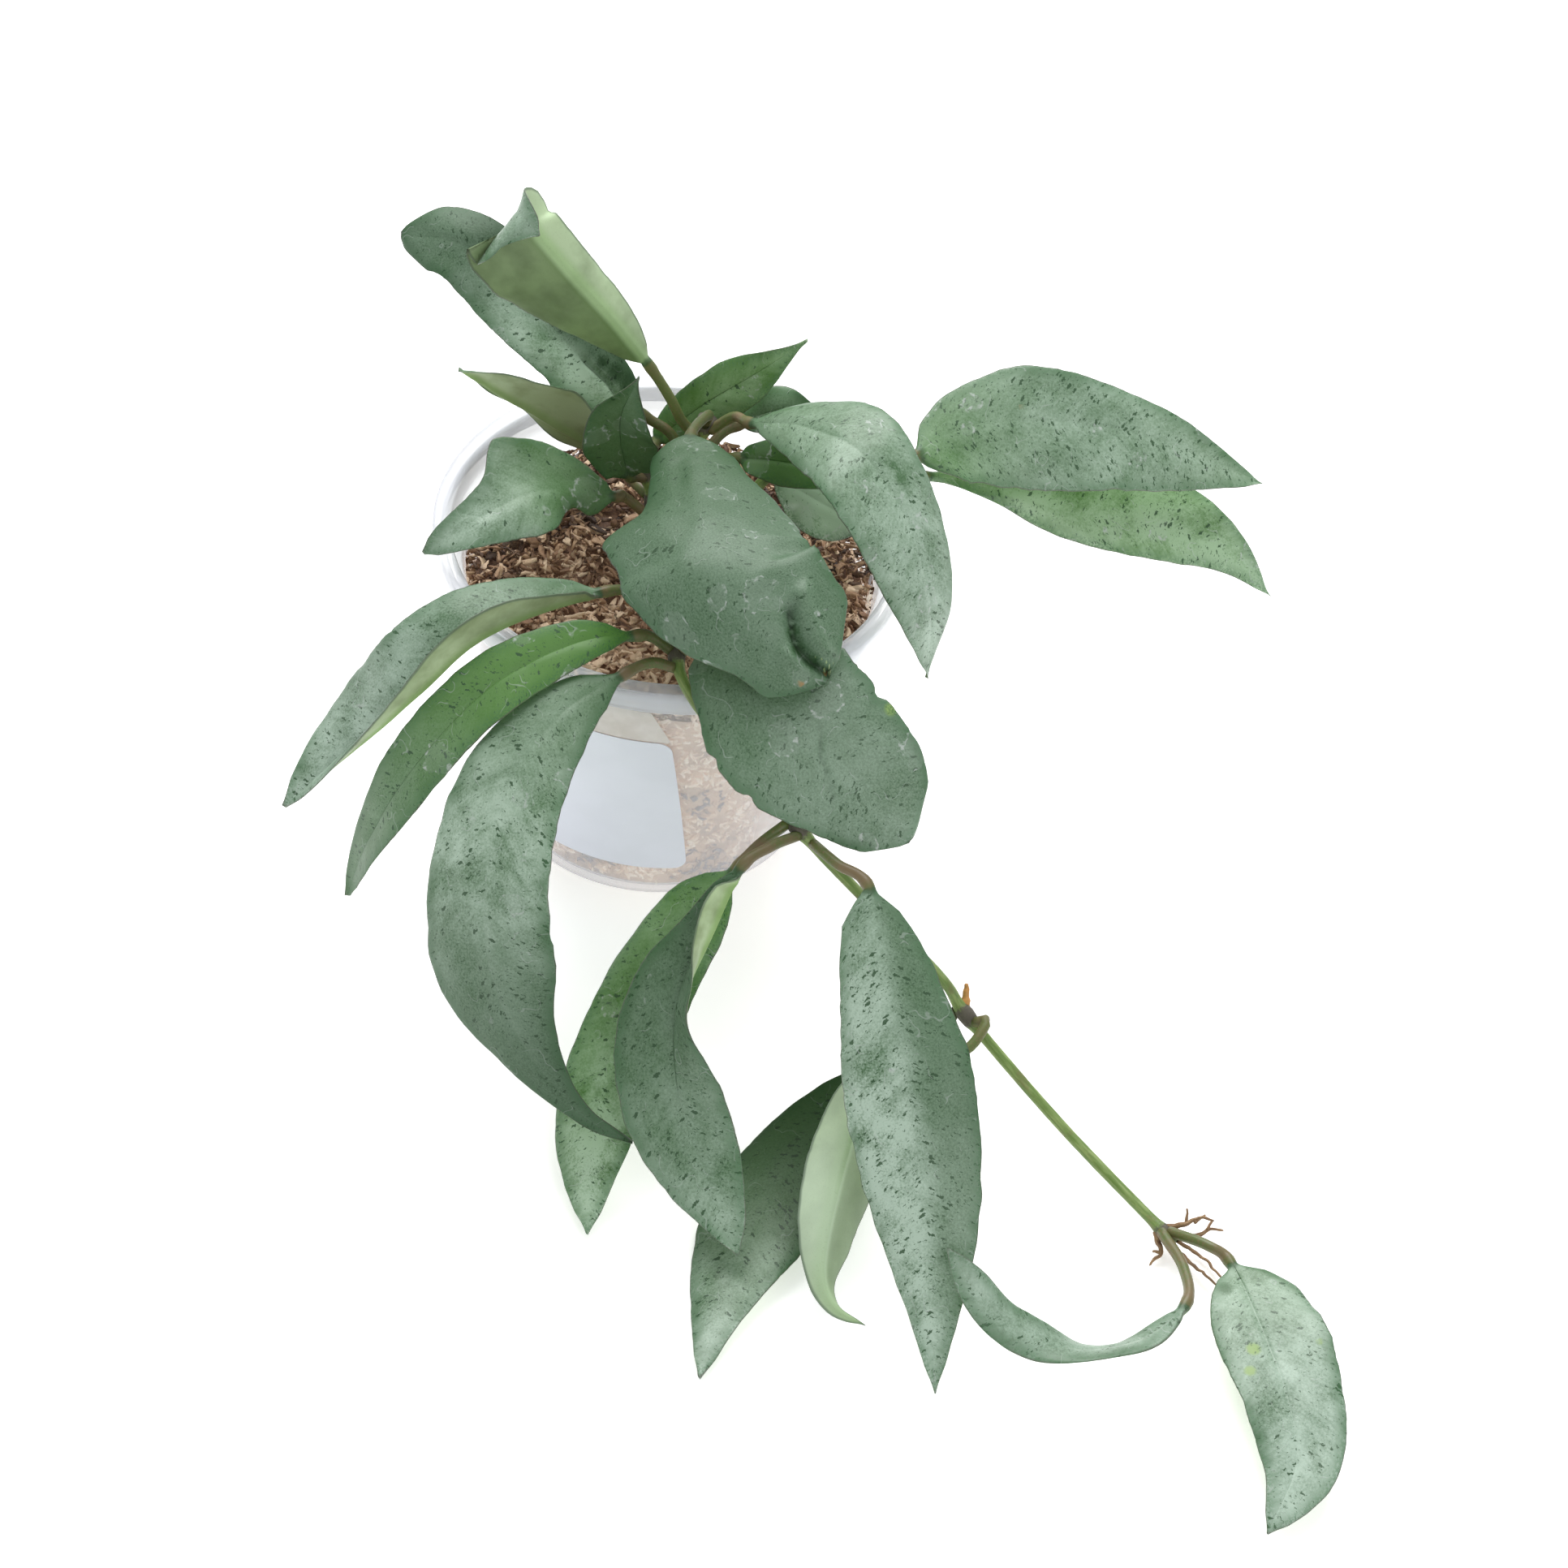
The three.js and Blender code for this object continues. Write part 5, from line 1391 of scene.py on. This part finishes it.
def lay_side(source):
    """Shreds pressed against the clear wall: points, and a shade for each."""
    size = ((0, 2), (2 * math.pi * SIDE_RADIUS, MEDIUM_TOP))
    side = curled_shreds(SIDE_SHREDS, source, size, 0.9, (0.7, 2.6), (0.4, 1.3), 0.05)
    depth = side[..., 2] - side[..., 2].min(axis=(1, 2), keepdims=True) * 0.5
    z = np.clip(side[..., 1], WALL + 0.4, MEDIUM_TOP + 1.0)
    angle = side[..., 0] / SIDE_RADIUS
    r = wall_radius(z) - WALL - WALL_GAP - np.maximum(depth, 0)
    side = on_wall(r, angle, z)
    centre = side[:, SHRED_STEPS // 2].mean(axis=1)
    patch = rough(centre, 0.11, 21.0) + 0.5 * rough(centre, 0.25, 4.0)
    shade = source.uniform(0.12, 0.9, len(side)) + 0.22 - 0.75 * soft_step(patch, 0.1, 0.5)
    return side, shade


def build_shreds():
    source = np.random.default_rng(SEED)
    for name, lay, material in (("top_shreds", lay_top, BARK), ("side_shreds", lay_side, WALL_BARK)):
        shreds, shade = lay(source)
        points, faces = joined(shreds)
        values = {"shade": np.repeat(shade, len(points) // len(shreds))}
        make_piece(name, points, faces, [material], values)
        print(name, len(shreds))


build_shreds()

# %% [markdown]
# The core closes the gaps between the shreds. Its side and underside have the bark behind the wall as
# their finish, and its slightly lumpy top the bark of the surface.

# %% Core of the medium
CORE_SIDES = 96
CORE_TOP_RING = 6
CORE_SHADE = 0.28
CORE_PROFILE = [(1, 1.15), (12, 1.15), (24, 1.15)]
CORE_PROFILE += [(wall_radius(z) - 1.9, z) for z in (3, 18, 34, 44)]
CORE_PROFILE += [(27.5, 46.2), (22, 46.6), (14, 46.8), (6, 46.9), (1, 46.9)]


def build_core():
    """The solid heart of the medium, just under its shreds."""
    rings = turned(CORE_PROFILE, CORE_SIDES)
    rings[CORE_TOP_RING:, :, 2] += 0.5 * rough(rings[CORE_TOP_RING:], 0.3)
    points, faces = joined([rings])
    by_the_wall = [k < CORE_TOP_RING * CORE_SIDES for k in range(len(faces) - 2)] + [True, False]
    make_piece(
        "medium_core", points, faces, [BARK, WALL_BARK],
        {"shade": np.full(len(points), CORE_SHADE)}, finish_of=by_the_wall, replaced=["growing_medium"],
    )


build_core()
print("core", CORE_PROFILE[-1][1], "mm high")

# %% [markdown]
# A few hair-fine roots have crept up the inside of the clear wall above the medium.

# %% Wall roots
ROOT_RINGS = 20
ROOT_SIDES = 6
ROOT_RADIUS = 0.13
ROOT_GAP = 0.35
ROOT_SHADE = 0.08
# Degrees round the cup from its front, and heights.
WALL_ROOTS = [
    [[-64, 49.6], [-58, 50.6], [-52, 50.0], [-47, 48.4]],
    [[-58, 50.6], [-60, 49.2], [-57, 47.6]],
]


def build_wall_roots():
    skins = []
    for corners in WALL_ROOTS:
        degrees, z = np.array(corners).T
        route = on_wall(wall_radius(z) - WALL - ROOT_GAP, np.radians(degrees), z)
        radii = np.full(ROOT_RINGS, ROOT_RADIUS)
        skins.append(tube(Route(route), np.linspace(0, 1, ROOT_RINGS), radii, ROOT_SIDES))
    points, faces = joined(skins)
    values = {"shade": np.full(len(points), ROOT_SHADE)}
    make_piece("wall_roots", points, faces, [BARK], values)


build_wall_roots()
print(len(WALL_ROOTS), "wall roots")

# %% [markdown]
# The cup is a thin clear plastic tub with a turned-down rim. Clear film this thin hardly bends light,
# and a true glass material would make the render slow and noisy. So the plastic lets light straight
# through and shows mostly where it is seen edge on, where it turns milky and catches the lamps.

# %% Cup
RIM_RADIUS = 37.5
CUP_HEIGHT = 56.0
CUP_SIDES = 160
PLASTIC = (0.64, 0.66, 0.72)
CLEAR_HAZE = 0.16
EDGE_HAZE = 0.75
LIP_HAZE = 0.18
# Radii and heights, from the middle of the base up the outside, over the lip and down the inside.
CUP_PROFILE = [
    (0, 0), (20, 0.25), (24.3, 0), (25.1, 0.1), (25.5, 0.7), (25.62, 1.5), (33.38, 48.9), (33.5, 49.5),
    (33.9, 49.85), (34.6, 50.0), (35.2, 50.6), (35.25, 51.2), (35.38, 53.7), (35.5, 54.4), (35.8, 54.6),
    (36.15, 54.3), (36.12, 53.8), (36.0, 51.8), (36.1, 51.4), (36.7, 51.4), (36.85, 51.7), (37.35, 54.7),
    (37.4, 55.4), (37.3, 55.8), (37, 56), (35.4, 56), (34.8, 55.8), (34.5, 55.3), (34.48, 54.7),
    (34.42, 51.6), (34.3, 51.0), (33.8, 50.7), (33.1, 50.5), (32.75, 50.2), (32.6, 49.5), (24.95, 2.6),
    (24.8, 1.6), (24.3, 0.95), (23.5, 1.0), (20, 1.0), (0, 0.8),
]


def build_plastic():
    tree, shader, material = new_material("clear_plastic")
    facing = tree.put("LayerWeight", {"Blend": 0.4}).outputs["Facing"]
    place = tree.own_place()
    flow = tree.noise(tree.vector("MULTIPLY", place, (60.0, 60.0, 14.0)), 1.0, 2.0)
    haze = tree.scaled(tree.sum("POWER", facing, 2.0), EDGE_HAZE, CLEAR_HAZE)
    haze = tree.scaled(tree.step(flow, 0.45, 0.75), 0.03, haze)
    height = tree.parts(place)[2]
    haze = tree.scaled(tree.step(height, 0.0495, 0.0507), LIP_HAZE, haze)
    feed(
        tree, shader, Base_Color=(*PLASTIC, 1.0), Alpha=haze, Roughness=0.14, IOR=1.5,
        Normal=bump(tree, flow, 0.0002, 0.4),
    )
    return material


CLEAR_PLASTIC = build_plastic()
points, faces = joined([turned([(max(r, 0.01), z) for r, z in CUP_PROFILE], CUP_SIDES)])
make_piece("cup_moulded", points, faces, [CLEAR_PLASTIC], replaced=["cup"])
print("cup", 2 * RIM_RADIUS, "mm wide and", CUP_HEIGHT, "mm high")

# %% [markdown]
# A bare paper label is wrapped round the front of the cup, with a strip of thin film above it. Paper on
# a cone keeps straight sides but curved ends, so both are made as patches in degrees and heights, with
# rounded corners.

# %% Label and film
LABEL = dict(left=-57, right=12, slant=5, low=8, high=41, out=0.3, thick=0.16, corner=2.2)
FILM = dict(left=-16, right=4, slant=3, low=41.2, high=48.4, out=0.3, thick=0.08, corner=0.5)
PATCH_COLUMNS = 61
PATCH_ROWS = 25
DEGREE_MM = math.radians(1) * 31
PAPER_WHITE = (0.7, 0.72, 0.82)
FILM_GREY = (0.66, 0.62, 0.6)
FILM_PALE = (0.8, 0.78, 0.78)


def build_patch(name, shape, material, node):
    """A thin patch on the cup's wall. Its right edge leans, and its corners are round."""
    u = 0.5 - 0.5 * np.cos(np.pi * np.linspace(0, 1, PATCH_COLUMNS))
    w = np.linspace(0, 1, PATCH_ROWS)
    span = (shape["right"] - shape["left"]) * DEGREE_MM
    from_end = np.minimum(u, 1 - u) * span
    corner = shape["corner"]
    inside = np.clip(from_end, 0, corner)
    cut = corner - np.sqrt(np.maximum(corner**2 - (corner - inside) ** 2, 0))
    low, high = shape["low"] + cut, shape["high"] - cut
    z = low[:, None] + (high - low)[:, None] * w[None, :]
    lean = shape["slant"] * (1 - 2 * (z - shape["low"]) / (shape["high"] - shape["low"])) * u[:, None]
    angle = np.radians(shape["left"] + (shape["right"] - shape["left"]) * u[:, None] + lean)
    inner = on_wall(wall_radius(z) + shape["out"], angle, z)
    outer = on_wall(wall_radius(z) + (shape["out"] + shape["thick"]), angle, z)
    points, faces = joined([np.concatenate([outer, inner[:, ::-1]], axis=1)])
    faces = [face[::-1] for face in faces]
    make_piece(name, points, faces, [material], replaced=[node], smooth=False)


def build_paper():
    tree, shader, material = new_material("label_paper")
    place = tree.own_place()
    fibre = tree.noise(place, 1800.0, 4.0)
    cloud = tree.noise(place, 120.0, 2.0)
    colour = tree.blend(tree.step(cloud, 0.3, 0.7), tuple(0.96 * c for c in PAPER_WHITE), PAPER_WHITE)
    feed(
        tree, shader, Base_Color=colour, Roughness=tree.scaled(fibre, 0.2, 0.45),
        Normal=bump(tree, fibre, 0.00003, 0.5),
    )
    return material


def build_film():
    tree, shader, material = new_material("thin_film")
    place = tree.own_place()
    smear = tree.noise(place, 260.0, 3.0)
    feed(
        tree, shader, Base_Color=tree.blend(smear, FILM_GREY, FILM_PALE), Roughness=0.3,
        Alpha=tree.scaled(smear, 0.3, 0.45), Normal=bump(tree, smear, 0.0001, 0.4),
    )
    return material


build_patch("label_blank", LABEL, build_paper(), "label")
build_patch("film_strip", FILM, build_film(), "label_tape")
print("label", round((LABEL["right"] - LABEL["left"]) * DEGREE_MM, 1), "mm along the wall")

# %% [markdown]
# The plant stands on a plain pale floor, which is not part of it. The floor glows faintly, as a sheet
# of white acrylic lit from below does in a studio, and so stays white round the plant.

# %% Floor
bpy.ops.mesh.primitive_plane_add(size=6)
floor = bpy.context.object
floor.name = "floor"
tree, shader, material = new_material("pale_floor")
tint = tree.step(tree.noise(tree.own_place(), 3.0, 2.0), 0.2, 0.8)
feed(
    tree, shader, Base_Color=tree.blend(tint, tuple(0.99 * c for c in FLOOR_WHITE[:3]), FLOOR_WHITE),
    Roughness=0.9, Specular_IOR_Level=0.1, Emission_Color=(1, 1, 1, 1), Emission_Strength=FLOOR_GLOW,
)
floor.data.materials.append(material)
